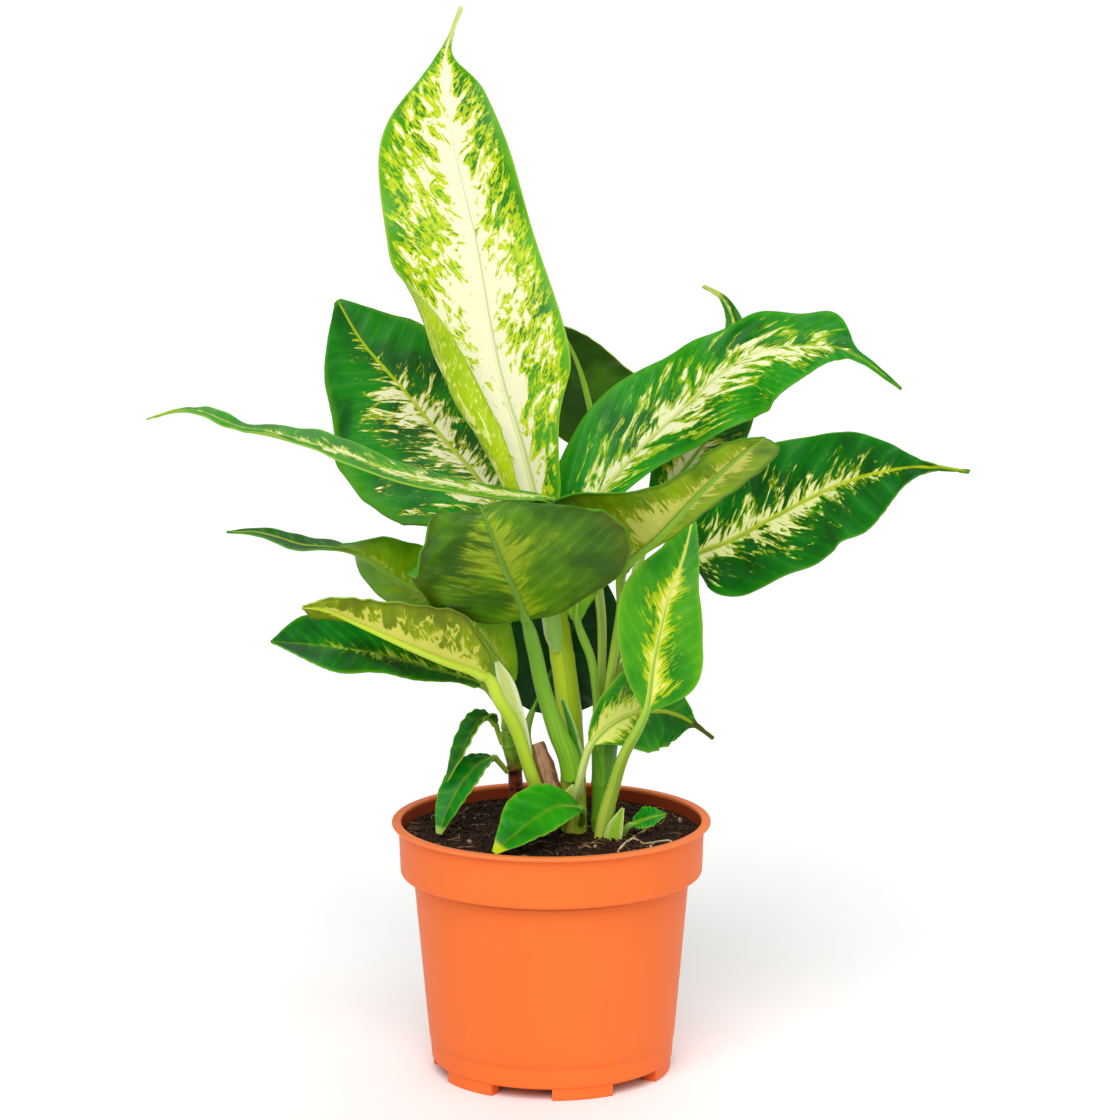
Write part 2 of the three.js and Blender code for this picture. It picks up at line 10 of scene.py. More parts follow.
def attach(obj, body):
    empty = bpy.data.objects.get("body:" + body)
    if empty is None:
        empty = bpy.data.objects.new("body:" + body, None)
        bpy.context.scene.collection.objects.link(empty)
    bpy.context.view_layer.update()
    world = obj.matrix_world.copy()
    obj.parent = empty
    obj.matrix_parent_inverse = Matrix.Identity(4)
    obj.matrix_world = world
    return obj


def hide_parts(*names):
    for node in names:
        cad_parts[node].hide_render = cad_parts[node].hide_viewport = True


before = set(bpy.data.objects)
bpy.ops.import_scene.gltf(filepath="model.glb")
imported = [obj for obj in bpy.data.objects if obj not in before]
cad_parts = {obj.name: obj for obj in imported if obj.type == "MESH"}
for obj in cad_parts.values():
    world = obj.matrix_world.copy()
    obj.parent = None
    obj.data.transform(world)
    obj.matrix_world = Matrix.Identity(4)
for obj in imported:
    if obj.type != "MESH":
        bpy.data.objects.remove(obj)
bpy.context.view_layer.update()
mm = 0.001
degree = pi / 180
print("frame loaded")


# Shader maths: a wire is one node socket, and Python's operators put Math nodes behind it.
class Wire:
    def __init__(self, board, socket):
        self.board = board
        self.socket = socket

    def rise(self, low, high):
        limits = {"Value": self, "From Min": low, "From Max": high}
        return self.board.node("ShaderNodeMapRange", {"interpolation_type": "SMOOTHSTEP"}, limits)

    __add__ = __radd__ = lambda a, b: a.board.math("ADD", a, b)
    __mul__ = __rmul__ = lambda a, b: a.board.math("MULTIPLY", a, b)
    __sub__ = lambda a, b: a.board.math("SUBTRACT", a, b)
    __rsub__ = lambda a, b: a.board.math("SUBTRACT", b, a)
    __pow__ = lambda a, b: a.board.math("POWER", a, b)
    __gt__ = lambda a, b: a.board.math("GREATER_THAN", a, b)
    __abs__ = lambda a: a.board.math("ABSOLUTE", a, 0)


class Board:
    def __init__(self, name):
        self.material = bpy.data.materials.new(name)
        self.material.use_nodes = True
        self.tree = self.material.node_tree
        self.shader = self.tree.nodes["Principled BSDF"]

    def plug(self, value, socket):
        # A wire is linked, and a number or a colour code is set on the socket itself.
        if isinstance(value, Wire):
            self.tree.links.new(value.socket, socket)
        else:
            socket.default_value = paint(value) if isinstance(value, str) else value

    def node(self, kind, settings, inputs, output=0):
        made = self.tree.nodes.new(kind)
        for key, value in settings.items():
            setattr(made, key, value)
        for key, value in inputs.items():
            self.plug(value, made.inputs[key])
        return Wire(self, made.outputs[output])

    def math(self, operation, a, b):
        return self.node("ShaderNodeMath", {"operation": operation}, {0: a, 1: b})

    def axis(self, vector, name):
        return self.node("ShaderNodeSeparateXYZ", {}, {0: vector}, name)

    def layer(self, name):
        # Both coordinates of a UV layer.
        both = self.node("ShaderNodeUVMap", {"uv_map": name}, {})
        return self.axis(both, "X"), self.axis(both, "Y")

    def spot(self):
        return self.node("ShaderNodeTexCoord", {}, {}, "Object")

    def grain(self, spot, scale=1, detail=2, roughness=0.5, distortion=0):
        if isinstance(spot, tuple):
            spot = self.node("ShaderNodeCombineXYZ", {}, dict(enumerate(spot)))
        values = {"Scale": scale, "Detail": detail, "Roughness": roughness, "Distortion": distortion}
        return self.node("ShaderNodeTexNoise", {}, {"Vector": spot, **values})

    def curve(self, value, stops):
        made = self.node("ShaderNodeValToRGB", {}, {0: value})
        marks = made.socket.node.color_ramp.elements
        marks.remove(marks[1])
        marks[0].position = stops[0][0]
        for i, (place, level) in enumerate(stops):
            mark = marks.new(place) if i else marks[0]
            mark.color = (level, level, level, 1)
        return made

    def mix(self, share, a, b):
        return self.node("ShaderNodeMix", {"data_type": "RGBA"}, {0: share, 6: a, 7: b}, 2)

    def tone(self, colour, saturation, value):
        values = {"Color": colour, "Saturation": saturation, "Value": value}
        return self.node("ShaderNodeHueSaturation", {}, values)

    def finish(self, colour, roughness, height=None, depth=0.0003, strength=0.55, specular=0.22):
        values = {"Base Color": colour, "Roughness": roughness, "Specular IOR Level": specular}
        if height is not None:
            relief = {"Height": height, "Distance": depth, "Strength": strength}
            values["Normal"] = self.node("ShaderNodeBump", {}, relief)
        for name, value in values.items():
            self.plug(value, self.shader.inputs[name])
        return self.material


def paint(code):
    # A screen colour code as linear light with full opacity.
    parts = [int(code[i : i + 2], 16) / 255 for i in (0, 2, 4)]
    return (*[((c + 0.055) / 1.055) ** 2.4 if c > 0.04045 else c / 12.92 for c in parts], 1)


def merged(*tables):
    # Later tables win, and the keys become attributes.
    return SimpleNamespace(**{key: value for table in tables for key, value in table.items()})


# Curves through given values, with u from 0 to 1
def along(values, u):
    if isinstance(values, (int, float)):
        return values
    last = len(values) - 1
    place = min(max(u, 0), 1) * last
    i = min(int(place), last - 1)
    t = place - i
    a, b, c, d = (values[min(max(k, 0), last)] for k in range(i - 1, i + 3))
    return b + 0.5 * t * (c - a + t * (2 * a - 5 * b + 4 * c - d + t * (3 * (b - c) + d - a)))


def pointAlong(points, u):
    return Vector([along([point[axis] for point in points], u) for axis in range(3)])


def frameAt(points, u, face):
    step = 0.004
    ahead = (pointAlong(points, u + step) - pointAlong(points, u - step)).normalized()
    up = (face - ahead * face.dot(ahead)).normalized()
    return SimpleNamespace(origin=pointAlong(points, u), ahead=ahead, right=ahead.cross(up), up=up)


def ringSpot(here, radius, angle):
    return here.origin + here.right * radius * cos(angle) + here.up * radius * sin(angle)


def lengthTable(points, count=160):
    spots = [pointAlong(points, i / count) for i in range(count + 1)]
    table = [0]
    for a, b in zip(spots, spots[1:]):
        table.append(table[-1] + (b - a).length)
    return table


def lookUp(table, u):
    place = min(max(u, 0), 1) * (len(table) - 1)
    i = min(int(place), len(table) - 2)
    return table[i] + (table[i + 1] - table[i]) * (place - i)


# Mesh helpers
def addObject(name, data):
    made = bpy.data.objects.new(name, data)
    bpy.context.collection.objects.link(made)
    return made


def meshObject(name, bm):
    made = addObject(name, bpy.data.meshes.new(name))
    bm.to_mesh(made.data)
    bm.free()
    return made


def bake(made):
    # Puts the modifiers' result into the object's own mesh.
    graph = bpy.context.evaluated_depsgraph_get()
    final = made.evaluated_get(graph)
    mesh = bpy.data.meshes.new_from_object(final, preserve_all_data_layers=True, depsgraph=graph)
    made.modifiers.clear()
    made.data = mesh


def thicken(made, thickness):
    wall = made.modifiers.new("thickness", "SOLIDIFY")
    wall.thickness = thickness * mm
    wall.offset = 0
    return wall


def settle(made, materials, nodes=()):
    made.data.polygons.foreach_set("use_smooth", [True] * len(made.data.polygons))
    made.data.update()
    for material in materials:
        made.data.materials.append(material)
    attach(made, "root")
    if nodes:
        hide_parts(*nodes)


def addSheet(bm, grid, place, material=0):
    # A grid whose corners are sent where place(x, y) says, for x from -1 to 1 and y from 0 to 1.
    uv = bm.loops.layers.uv
    layers = [uv.get(name) or uv.new(name) for name in ("share", "span")]
    verts = bmesh.ops.create_grid(bm, x_segments=grid[0], y_segments=grid[1], size=0.5)["verts"]
    marks = {}
    for vert in verts:
        spot, share, span = place(2 * vert.co.x, vert.co.y + 0.5)
        vert.co = spot * mm
        marks[vert] = (share, (span[0] * mm, span[1] * mm))
    for face in {face for vert in verts for face in vert.link_faces}:
        face.material_index = material
        for loop in face.loops:
            for layer, mark in zip(layers, marks[loop.vert]):
                loop[layer].uv = mark
    return verts


def closeTube(bm, verts):
    bmesh.ops.remove_doubles(bm, verts=verts, dist=1e-6)
    alive = [vert for vert in verts if vert.is_valid]
    rims = {edge for vert in alive for edge in vert.link_edges if edge.is_boundary}
    for face in bmesh.ops.holes_fill(bm, edges=list(rims), sides=0)["faces"]:
        face.material_index = alive[0].link_faces[0].material_index
    faces = {face for vert in alive for face in vert.link_faces}
    bmesh.ops.recalc_face_normals(bm, faces=list(faces))


def fillHoles(bm):
    bmesh.ops.holes_fill(bm, edges=[edge for edge in bm.edges if edge.is_boundary], sides=0)
    bmesh.ops.recalc_face_normals(bm, faces=bm.faces)


# Leaf finish. Layer share holds the place across (-1 to 1) and along (0 to 1), span the same in metres.
plainLook = {
    "deep": "0c5a10", "mid": "2a8a1c", "fresh": "6fb524",  # greens of patches, and of veins and margin
    "gold": "b3cb3a", "cream": "f1eecb", "rib": "b4c84a", "rim": "a3c35c", "tip": "4f8f2a", "tipFrom": 0.95,
    "reach": [(0, -0.7), (1, -0.7)],  # half width of the cream from base to tip, as a share
    "lean": 0, "blotch": 0.9, "streak": 1.1, "drift": 1.2, "stretch": (380, 120), "halo": 0.12,
    "speck": 0.5, "speckReach": 0.5, "edge": 0.5, "heart": 0, "ribShow": 0.8, "veinShow": 0.2,
    "slant": 0.62, "gap": 0.0062, "seed": 1,
    "backDeep": "3d6a0c", "backMid": "5c8a1e", "ray": "a8b534", "rayShow": 0.6,  # underside
    "backCream": "dcdc96", "backCreamShow": 0.3, "backSpeck": 0, "brown": "4c4a18", "brownShow": 0.5,
    "stalkFoot": "a9c63c", "stalkTop": "7fb02e", "stalkDark": 0.35,
}
veinBend = 6  # turn of the side veins towards the tip


def leafFields(board, look):
    v, u = board.layer("share")
    x, s = board.layer("span")
    edge, d = abs(v), abs(x)
    side = v > 0
    vein = s - d * look.slant - d * d * veinBend
    fine, coarse = look.stretch
    seed = look.seed
    drift = board.grain((s * 45, d * 30, side * 4 + seed + 90))
    blotch = board.grain((vein * fine, d * coarse, side * 9 + seed), 1, 3, 0.6, 1.3)
    streak = board.grain((vein * fine * 2.4, d * coarse * 2, side * 5 + seed + 20), 1, 3, 0.6, 1.2)
    speck = board.grain((vein * 1000, d * 560, side * 7 + seed + 60))
    reach = board.curve(u, [(place, (level + 1) / 2) for place, level in look.reach]) * 2 - 1
    field = reach * (1 + side * look.lean) - edge
    field = field + (blotch - 0.5) * look.blotch + (streak - 0.5) * look.streak
    field = field + (drift - 0.5) * look.drift - edge.rise(0.8, 1) * look.edge
    field = field + (1 - edge.rise(0.05, 0.28)) * look.heart
    patch = board.grain((s, d, side * 3 + seed), 48, 3)
    beat = vein * (2 * pi / look.gap) + drift * 5
    lines = (board.math("SINE", beat, 0) * 0.5 + 0.5) ** 4 * patch.rise(0.3, 0.6)
    return edge, field, patch, lines, speck, streak, u, d


def upperFace(name, look):
    board = Board(name)
    edge, field, patch, lines, speck, streak, u, d = leafFields(board, look)
    green = board.mix((patch + edge * 0.12).rise(0.36, 0.7), look.deep, look.mid)
    green = board.mix(lines * look.veinShow, green, look.fresh)
    green = board.mix(edge.rise(0.8, 1) * 0.35, green, look.fresh)
    zone = field.rise(-look.speckReach, 0)
    specks = (speck + zone * 0.24 - 0.62).rise(0, 0.03) * zone * look.speck
    halo = field.rise(-look.halo, 0.06 - look.halo) * 0.85
    coat = board.mix(board.math("MAXIMUM", specks, halo), green, look.gold)
    cream = board.mix(streak.rise(0.35, 0.6), look.gold, look.cream)
    cream = board.mix(field.rise(0.02, 0.2), cream, look.cream)
    creamShow = field.rise(0, 0.05)
    coat = board.mix(creamShow, coat, cream)
    rib = 1 - (d - (1 - u) * 0.001).rise(0.0001, 0.0006)
    coat = board.mix(rib * look.ribShow, coat, look.rib)
    coat = board.mix(edge.rise(0.97, 0.99) * 0.75, coat, look.rim)
    coat = board.mix(u.rise(look.tipFrom, look.tipFrom + 0.05), coat, look.tip)
    roughness = 0.34 + patch * 0.16 + creamShow * 0.08
    height = lines * 0.45 + streak * 0.3 + speck * 0.12 - creamShow * 0.1
    return board.finish(board.tone(coat, 1.12, 0.94), roughness, height)


def underFace(name, look):
    board = Board(name)
    edge, field, patch, lines, speck, streak, *rest = leafFields(board, look)
    back = board.mix(patch.rise(0.34, 0.66), look.backDeep, look.backMid)
    back = board.mix(field.rise(-0.4, 0.25) * look.rayShow, back, look.ray)
    back = board.mix(field.rise(0.05, 0.16) * look.backCreamShow, back, look.backCream)
    back = board.mix(speck.rise(0.56, 0.64) * look.backSpeck, back, look.backCream)
    back = board.mix(lines * 0.14, back, look.ray)
    back = board.mix((edge + patch * 0.2).rise(0.9, 1.12) * look.brownShow, back, look.brown)
    back = board.mix(edge.rise(0.97, 0.99) * 0.7, back, look.rim)
    height = lines * 0.6 + streak * 0.3 + speck * 0.1
    return board.finish(board.tone(back, 1.15, 0.98), 0.42 + patch * 0.12, height)


def stalkSkin(name, foot, top, dark, brown=0):
    board = Board(name)
    side, u = board.layer("share")
    around, s = board.layer("span")
    fibres = board.grain((around * 1900, s * 26, 1))
    mottle = board.grain((around * 130, s * 60, 4))
    skin = board.mix(u.rise(0, 0.65), foot, top)
    skin = board.mix(fibres.rise(0.45, 0.75) * 0.22, skin, "e3ea7a")
    # painted shade: one side of each stalk and cane darkened towards deep green, by the share given as dark
    shade = (side + (mottle - 0.5) * 0.5).rise(0.3, 0.75)
    skin = board.mix(shade * dark, skin, "1c6a0c")
    if brown:
        edge = ((mottle - 0.5) * 0.3 - u).rise(-brown - 0.05, 0.05 - brown)
        knots = board.grain((around * 300, s * 420, 7), 1, 3)
        bark = board.mix(knots.rise(0.35, 0.65), "3a1208", "8a3f22")
        skin = board.mix(edge, skin, bark)
    return board.finish(skin, 0.34 + fibres * 0.1, fibres + mottle * 0.6, 0.00012, 0.5, 0.25)


# Leaf shape, in millimetres: stalk from foot to blade, midrib points, and half widths from base to tip.
# Curl and sweep are for the left and the right half, and lists run from base to tip.
leafShape = {
    "fold": 8, "flat": 0, "curl": (0, 0),  # rise in degrees, share left flat, and bend past it
    "sweep": (0, 0), "wave": (0, 3), "ruffle": (0.35, 9), "quilt": 0.25,  # height and count of waves
    "baseRound": 0.05, "rib": 1.5, "thickness": 0.6, "grid": (36, 96), "stalkGrid": (14, 110),
}
mainTop = (2, 8, 178)
rightTop = (20, 2, 128)
leftTop = (-16, 11, 128)


def standOn(top, bearing, ring):
    foot = (top[0] + ring * cos(bearing * degree), top[1] + ring * sin(bearing * degree))
    return [(*foot, top[2] + 0.4), (*foot, top[2] + 6)]


def across(t, width, fold, curl, flat):
    straight = min(t, flat) * width
    bent = max(t - flat, 0) * width
    turn = curl * max(t - flat, 0) / (1 - flat) or 1e-6
    out = straight * cos(fold) + bent * (sin(fold + turn) - sin(fold)) / turn
    rise = straight * sin(fold) + bent * (cos(fold) - cos(fold + turn)) / turn
    return out, rise, fold + turn


def bladePlacer(leaf, look, line, base, lengths):
    rows = {}

    def row(u):
        if u not in rows:
            here = base + (1 - base) * u
            made = frameAt(line, here, pointAlong(leaf.face, u))
            made.s = lookUp(lengths, here)
            swell = sqrt(1 - (1 - min(u / leaf.baseRound, 1)) ** 2)
            widths = [along(leaf.left, u), along(leaf.right, u)]
            made.widths = [max(width, 0.3) * (0.12 + 0.88 * swell) for width in widths]
            made.curls = [along(curl, u) * degree for curl in leaf.curl]
            made.fold = along(leaf.fold, u) * degree
            rows[u] = made
        return rows[u]

    def place(x, y):
        u = round(y, 5)
        here = row(u)
        v = 0.55 * x + 0.45 * sin(x * pi / 2)
        half = 1 if v > 0 else 0
        side = 1 if v > 0 else -1
        t = abs(v)
        width = here.widths[half]
        out, rise, slope = across(t, width, here.fold, here.curls[half], leaf.flat)
        edge = sin(pi * u)
        turn = side if v else 0
        height, count = leaf.wave
        ripple = height * t * t * sin(2 * pi * count * u + turn) * edge
        height, count = leaf.ruffle
        beat = 2 * pi * count * u + 2.1 * turn + noise.noise((u * 5, turn, 3)) * 3
        ripple += height * t**3 * sin(beat) * edge
        d = t * width * mm
        vein = here.s * mm - look.slant * d - veinBend * d * d
        swell = 4 * t * (1 - t) * edge**0.5
        lift = leaf.quilt * swell * sin(2 * pi * vein / (2 * look.gap))
        lift -= 0.35 * exp(-((t * width / 1.1) ** 2)) * (1 - u)
        lift += 0.3 * noise.noise(Vector((v * 3, u * 9, width))) * t
        normal = here.up * cos(slope) - here.right * side * sin(slope)
        spot = here.origin - here.ahead * leaf.sweep[half] * out * t + here.right * side * out
        spot += here.up * (rise + ripple) + normal * lift
        return spot, (v, u), (side * t * width, here.s)

    return place


def tubePlacer(leaf, line, base, lengths):
    length = base + (1 - base) * 0.96

    def place(x, y):
        here = y * length
        u = max(here - base, 0) / (1 - base)
        made = frameAt(line, here, pointAlong(leaf.face, u))
        angle = pi * x - pi / 2
        groove = 0
        if here < base:
            radius = along(leaf.stalkRadius, here / base)
            blend = max(0, (here - base * 0.9) / (base * 0.1))
            radius += (leaf.rib - radius) * blend * 0.5
            sink = blend * 0.3
            groove = 0.3 * exp(-(((abs(angle - pi / 2)) % (2 * pi)) / 0.5) ** 2)
        else:
            radius = leaf.rib * (1 - u) ** 0.8 + 0.15
            radius += (along(leaf.stalkRadius, 1) - leaf.rib) * 0.5 * max(0, 1 - u * 12)
            sink = radius * 0.55 + 0.25
        size = radius * (1 - groove)
        spot = made.origin + made.right * size * cos(angle) + made.up * (size * sin(angle) - sink)
        return spot, (x, here), (angle * radius, lookUp(lengths, here))

    return place


def makeLeaf(name, leaf):
    look = merged(plainLook, leaf["look"])
    leaf = merged(leafShape, leaf)
    if isinstance(leaf.face, tuple):
        leaf.face = [leaf.face] * 2
    line = leaf.stalk + leaf.spine
    base = len(leaf.stalk) / (len(line) - 1)
    lengths = lengthTable(line)
    bm = bmesh.new()
    addSheet(bm, leaf.grid, bladePlacer(leaf, look, line, base, lengths))
    made = meshObject(name, bm)
    thicken(made, leaf.thickness).material_offset = 1
    made.data.materials.append(upperFace(name + "Face", look))
    made.data.materials.append(underFace(name + "Back", look))
    stalk = stalkSkin(name + "Stalk", look.stalkFoot, look.stalkTop, look.stalkDark)
    made.data.materials.append(stalk)
    bake(made)
    bm = bmesh.new()
    bm.from_mesh(made.data)
    closeTube(bm, addSheet(bm, leaf.stalkGrid, tubePlacer(leaf, line, base, lengths), 2))
    bm.to_mesh(made.data)
    bm.free()
    settle(made, [], [leaf.node])


creamLook = {
    "deep": "1c7412", "mid": "4a9e16", "fresh": "86c22e", "gold": "c6d64a",
    "reach": [(0, 0.5), (0.15, 0.42), (0.3, 0.5), (0.6, 0.46), (0.8, 0.16), (0.92, -0.3), (1, -0.9)],
    "lean": -0.35, "blotch": 4.6, "streak": 1.3, "drift": 1.3, "stretch": (170, 105), "halo": 0.16,
    "speck": 1, "speckReach": 1.5, "edge": 0.8, "heart": 0.9, "rib": "f3f1d6", "ribShow": 0.5,
    "tip": "cfd98c", "tipFrom": 0.88, "backDeep": "93b81c", "backMid": "b4cc2c", "ray": "d9e24c",
    "backCream": "eef0a8", "backCreamShow": 0.8, "brownShow": 0, "stalkFoot": "c9d85a",
    "stalkTop": "eceabb",
}
flameLook = {
    "reach": [(0, 0.3), (0.3, 0.36), (0.6, 0.24), (0.8, -0.1), (1, -0.7)], "blotch": 2.2, "streak": 1,
    "drift": 1.6, "rim": "5f9a3c", "stretch": (300, 105), "speck": 0.6, "heart": 0.15,
}
brightLook = {
    "deep": "26801a", "mid": "52a02a", "fresh": "86bf3c", "backDeep": "6f9f20", "backMid": "8db62e",
}

leaves = {}
leaves["topLeaf"] = {
    "node": "leaf_top", "slot": "cream_leaf",
    "stalk": [*standOn(mainTop, 200, 2.8), (-2.5, 7, 189), (-3, 3.5, 199)], "stalkRadius": [1.7, 2.2],
    "spine": [(-4, 0.5, 211), (-11, 6, 239), (-17, 13, 257), (-22, 22, 278), (-28, 36, 311), (-36, 48, 344),
        (-38, 54, 364), (-39, 58, 380), (-33, 60, 397)],
    "face": [(0, -1, 0.3), (0, -1, 0.35)], "left": [14, 28, 37, 41, 34, 29, 17, 2.6, 0.6],
    "right": [9, 15, 26, 27, 22, 20, 14, 2.4, 0.6], "fold": [14, 10, 8, 8, 8],
    "curl": ([150, 215, 205, 150, 20, 0, 0, 0, 0], 0), "flat": 0.38, "wave": (2, 3.5), "grid": (56, 150),
    "rib": 2.4, "ruffle": (0.5, 7),
    "look": {**creamLook, "seed": 3, "stretch": (140, 160), "heart": 0.45, "streak": 1, "slant": 0.9,
        "drift": 1, "backSpeck": 0.6},
}
leaves["backLeftLeaf"] = {
    "node": "leaf_back_left", "slot": "dark_leaf",
    "stalk": [*standOn(mainTop, 115, 2.9), (-4.5, 13, 192), (-11, 18, 201)], "stalkRadius": [1.7, 2],
    "spine": [(-19, 22, 210), (-29, 36, 222), (-42, 54, 234), (-58, 70, 251), (-73, 80, 267),
        (-83, 86, 283)],
    "face": (0.1, -0.7, 0.7), "left": [16, 39, 46, 44, 26, 1.5], "right": [7, 19, 25, 27, 20, 1.5],
    "sweep": (0.4, 0), "wave": (1.5, 3), "ruffle": (0.7, 5),
    "look": {**flameLook, "seed": 12, "lean": 0.9, "deep": "06500f", "mid": "1f7f1e", "gold": "c3c832",
        "reach": [(0, 0.1), (0.3, 0.14), (0.5, 0.05), (0.68, -0.3), (1, -0.9)], "blotch": 3, "heart": 0.1,
        "stretch": (230, 95), "streak": 1.2, "veinShow": 0.1, "stalkTop": "b9c436"},
}
leaves["longLeftLeaf"] = {
    "node": "leaf_long_left", "slot": "cream_leaf",
    "stalk": [*standOn(mainTop, 290, 3), (4, -1, 195), (5, -9, 209)], "stalkRadius": [1.7, 1.8],
    "spine": [(2, -16, 220), (-25, -31, 226), (-54, -36, 233), (-79, -36, 242), (-99, -30, 247),
        (-114, -24, 249), (-126, -18, 253), (-137, -12, 253), (-148, -6, 249)],
    "face": (0, -0.08, 1), "left": [6, 18, 16, 9, 6, 3, 5, 4, 0.6],
    "right": [3, 12, 16, 14, 12, 5, 6, 4, 0.6], "fold": 3, "wave": (0.8, 3),
    "look": {**creamLook, "seed": 2, "deep": "1f7a14", "mid": "3f9a1c", "backDeep": "4f9a1c",
        "backMid": "7ab82c", "ray": "a9c84a", "backCreamShow": 0.4,
        "reach": [(0, 0.4), (0.3, 0.1), (0.5, -0.25), (0.7, -0.5), (1, -0.9)], "rib": "b9d060", "halo": 0.1,
        "speck": 0.7, "speckReach": 0.6, "tip": "9ed23a", "tipFrom": 0.84, "heart": 0.1, "blotch": 2.6,
        "stalkTop": "a9cc4a"},
}
leaves["frontLeaf"] = {
    "node": "leaf_front", "slot": "olive_leaf",
    "stalk": [(8, -6.1, 113), (6.4, -7.4, 122), (2, -11, 133), (-3, -16, 150), (-6, -21, 165)],
    "stalkRadius": [4.2, 4, 3.2, 2.8, 2.6],
    "spine": [(-9, -28, 178), (-13, -44, 192), (-18, -57, 206), (-22, -66, 219), (-25, -62, 225),
        (-26, -54, 221)],
    "face": [(0.1, 0.9, 0.3), (0, 0.9, 0.3), (0, 0.5, -1)], "left": [12, 38, 46, 40, 24, 3],
    "right": [18, 31, 34, 33, 24, 3], "sweep": (0.3, 0.3), "fold": 4, "curl": (14, 4), "wave": (1.5, 3),
    "rib": 1.1, "grid": (50, 120), "ruffle": (1, 6),
    "look": {**flameLook, "seed": 52,
        "reach": [(0, -0.05), (0.35, 0.1), (0.6, -0.1), (0.8, -0.4), (1, -0.8)], "backDeep": "2f5a08",
        "backMid": "4f7f1c", "ray": "9db53a", "rayShow": 0.65, "stalkDark": 0.8, "stretch": (200, 60),
        "backCreamShow": 0.12, "brownShow": 0.75, "stalkFoot": "78b418", "stalkTop": "5c8f22"},
}
leaves["midLeftLeaf"] = {
    "node": "leaf_mid_left", "slot": "bright_leaf",
    "stalk": standOn(leftTop, 20, 1.7), "stalkRadius": [1.4, 1.6],
    "spine": [(-15, 8, 146), (-27, 3, 166), (-41, -2, 180), (-56, -6, 189), (-67, -8, 197), (-76, -8, 201),
        (-91, -7, 202), (-107, -4, 206), (-120, -1, 206)],
    "face": [(0.2, 0.8, 0.5), (0, 0.8, 0.5), (0, 0.6, 0.7), (0, -0.25, 1), (0, -0.25, 1)],
    "left": [4, 14, 19, 18, 14, 8, 7, 3.5, 0.6], "right": [4, 12, 15, 14, 11, 7, 6, 3.5, 0.6],
    "look": {**flameLook, "seed": 32, "deep": "154f14", "mid": "2d6b24",
        "reach": [(0, 0.3), (0.3, 0.25), (0.5, -0.2), (1, -0.8)], "backDeep": "5f9414", "backMid": "86b42c",
        "ray": "bccb58", "brownShow": 0.2, "stalkFoot": "8ab52e"},
}
leaves["lowLeftLeaf"] = {
    "node": "leaf_low_left", "slot": "olive_leaf",
    "stalk": [(3.2, -2.1, 94.5), (-1, -5, 102), (-6, -8, 111), (-13, -15, 134), (-19, -20, 146)],
    "stalkRadius": [2.6, 2.4],
    "spine": [(-24, -22, 156), (-39, -32, 164), (-53, -42, 172), (-70, -52, 182), (-80, -60, 188),
        (-88, -66, 190)],
    "face": [(0, 0.3, 1), (0, 0.8, 0.6)], "left": [6, 18, 16, 11, 8, 0.6], "right": [6, 16, 16, 12, 8, 0.6],
    "fold": [60, 58, 48, 25, 5, 0],
    "look": {**creamLook, "seed": 53, "deep": "2c6a12", "mid": "4c8a1c", "backDeep": "667a0e",
        "backMid": "86a028", "ray": "c9cc5a", "backCream": "d9d67a", "brown": "4f4a12", "brownShow": 0.8,
        "reach": [(0, 0.35), (0.4, 0.3), (0.7, 0.1), (0.9, -0.4), (1, -0.8)], "stretch": (220, 170),
        "stalkFoot": "a9d02a", "stalkTop": "c3dc3a"},
}
leaves["lowLeftDarkLeaf"] = {
    "node": "leaf_low_left_dark", "slot": "dark_leaf",
    "stalk": [*standOn(leftTop, 200, 1.7), (-21, 7, 141)], "stalkRadius": [1.4, 1.6],
    "spine": [(-27, 2, 148), (-45, -10, 156), (-66, -24, 165), (-86, -36, 170), (-101, -44, 173)],
    "face": [(0, -0.5, 0.87), (0, -0.45, 0.87)], "left": [4, 10, 18, 20, 0.6],
    "right": [4, 16, 20, 15, 0.6], "fold": 10, "ruffle": (0.1, 4), "wave": (0.8, 2.5),
    "look": {**flameLook, "seed": 13, "deep": "064a16", "mid": "1a7a28", "gold": "9cc83a",
        "cream": "cfdc7a", "reach": [(0, -0.25), (0.4, -0.15), (0.7, -0.35), (1, -0.8)], "ribShow": 0.2},
}
leaves["droopUpperLeaf"] = {
    "node": "leaf_droop_upper", "slot": "bright_leaf",
    "stalk": [(-18.5, 8.4, 123), (-20, 7, 128)], "stalkRadius": [0.9, 1.1],
    "spine": [(-21, 4, 132), (-24, 1, 135), (-28, -2, 132), (-33, -5, 123), (-39, -8, 112)],
    "face": [(0, -0.1, 1), (-0.7, -0.5, 0.3)], "left": [1.5, 4.5, 6, 5, 0.6],
    "right": [1.5, 4.5, 6, 5, 0.6], "fold": 30, "rib": 0.7,
    "look": {"seed": 33, "deep": "0c4a12", "mid": "2a7a20", "backDeep": "2f6a1c", "backMid": "4f8a2c",
        "ribShow": 0.2},
}
leaves["droopLowerLeaf"] = {
    "node": "leaf_droop_lower", "slot": "bright_leaf",
    "stalk": [(-16.6, 9.4, 112), (-20, 6, 117)], "stalkRadius": [1, 1.2],
    "spine": [(-22, 4, 119), (-27, 0, 117), (-33, -4, 111), (-38, -8, 103), (-42, -12, 93.2)],
    "face": [(-0.2, -0.3, 1), (-0.5, -0.85, 0.2)], "left": [2, 6.5, 7.5, 5.5, 1.2],
    "right": [2, 6.5, 7.5, 5.5, 1.2], "fold": 18, "rib": 0.8,
    "look": {"seed": 34, "deep": "14601a", "mid": "2f8a34", "tip": "a8c46a", "ribShow": 0.2,
        "tipFrom": 0.9},
}
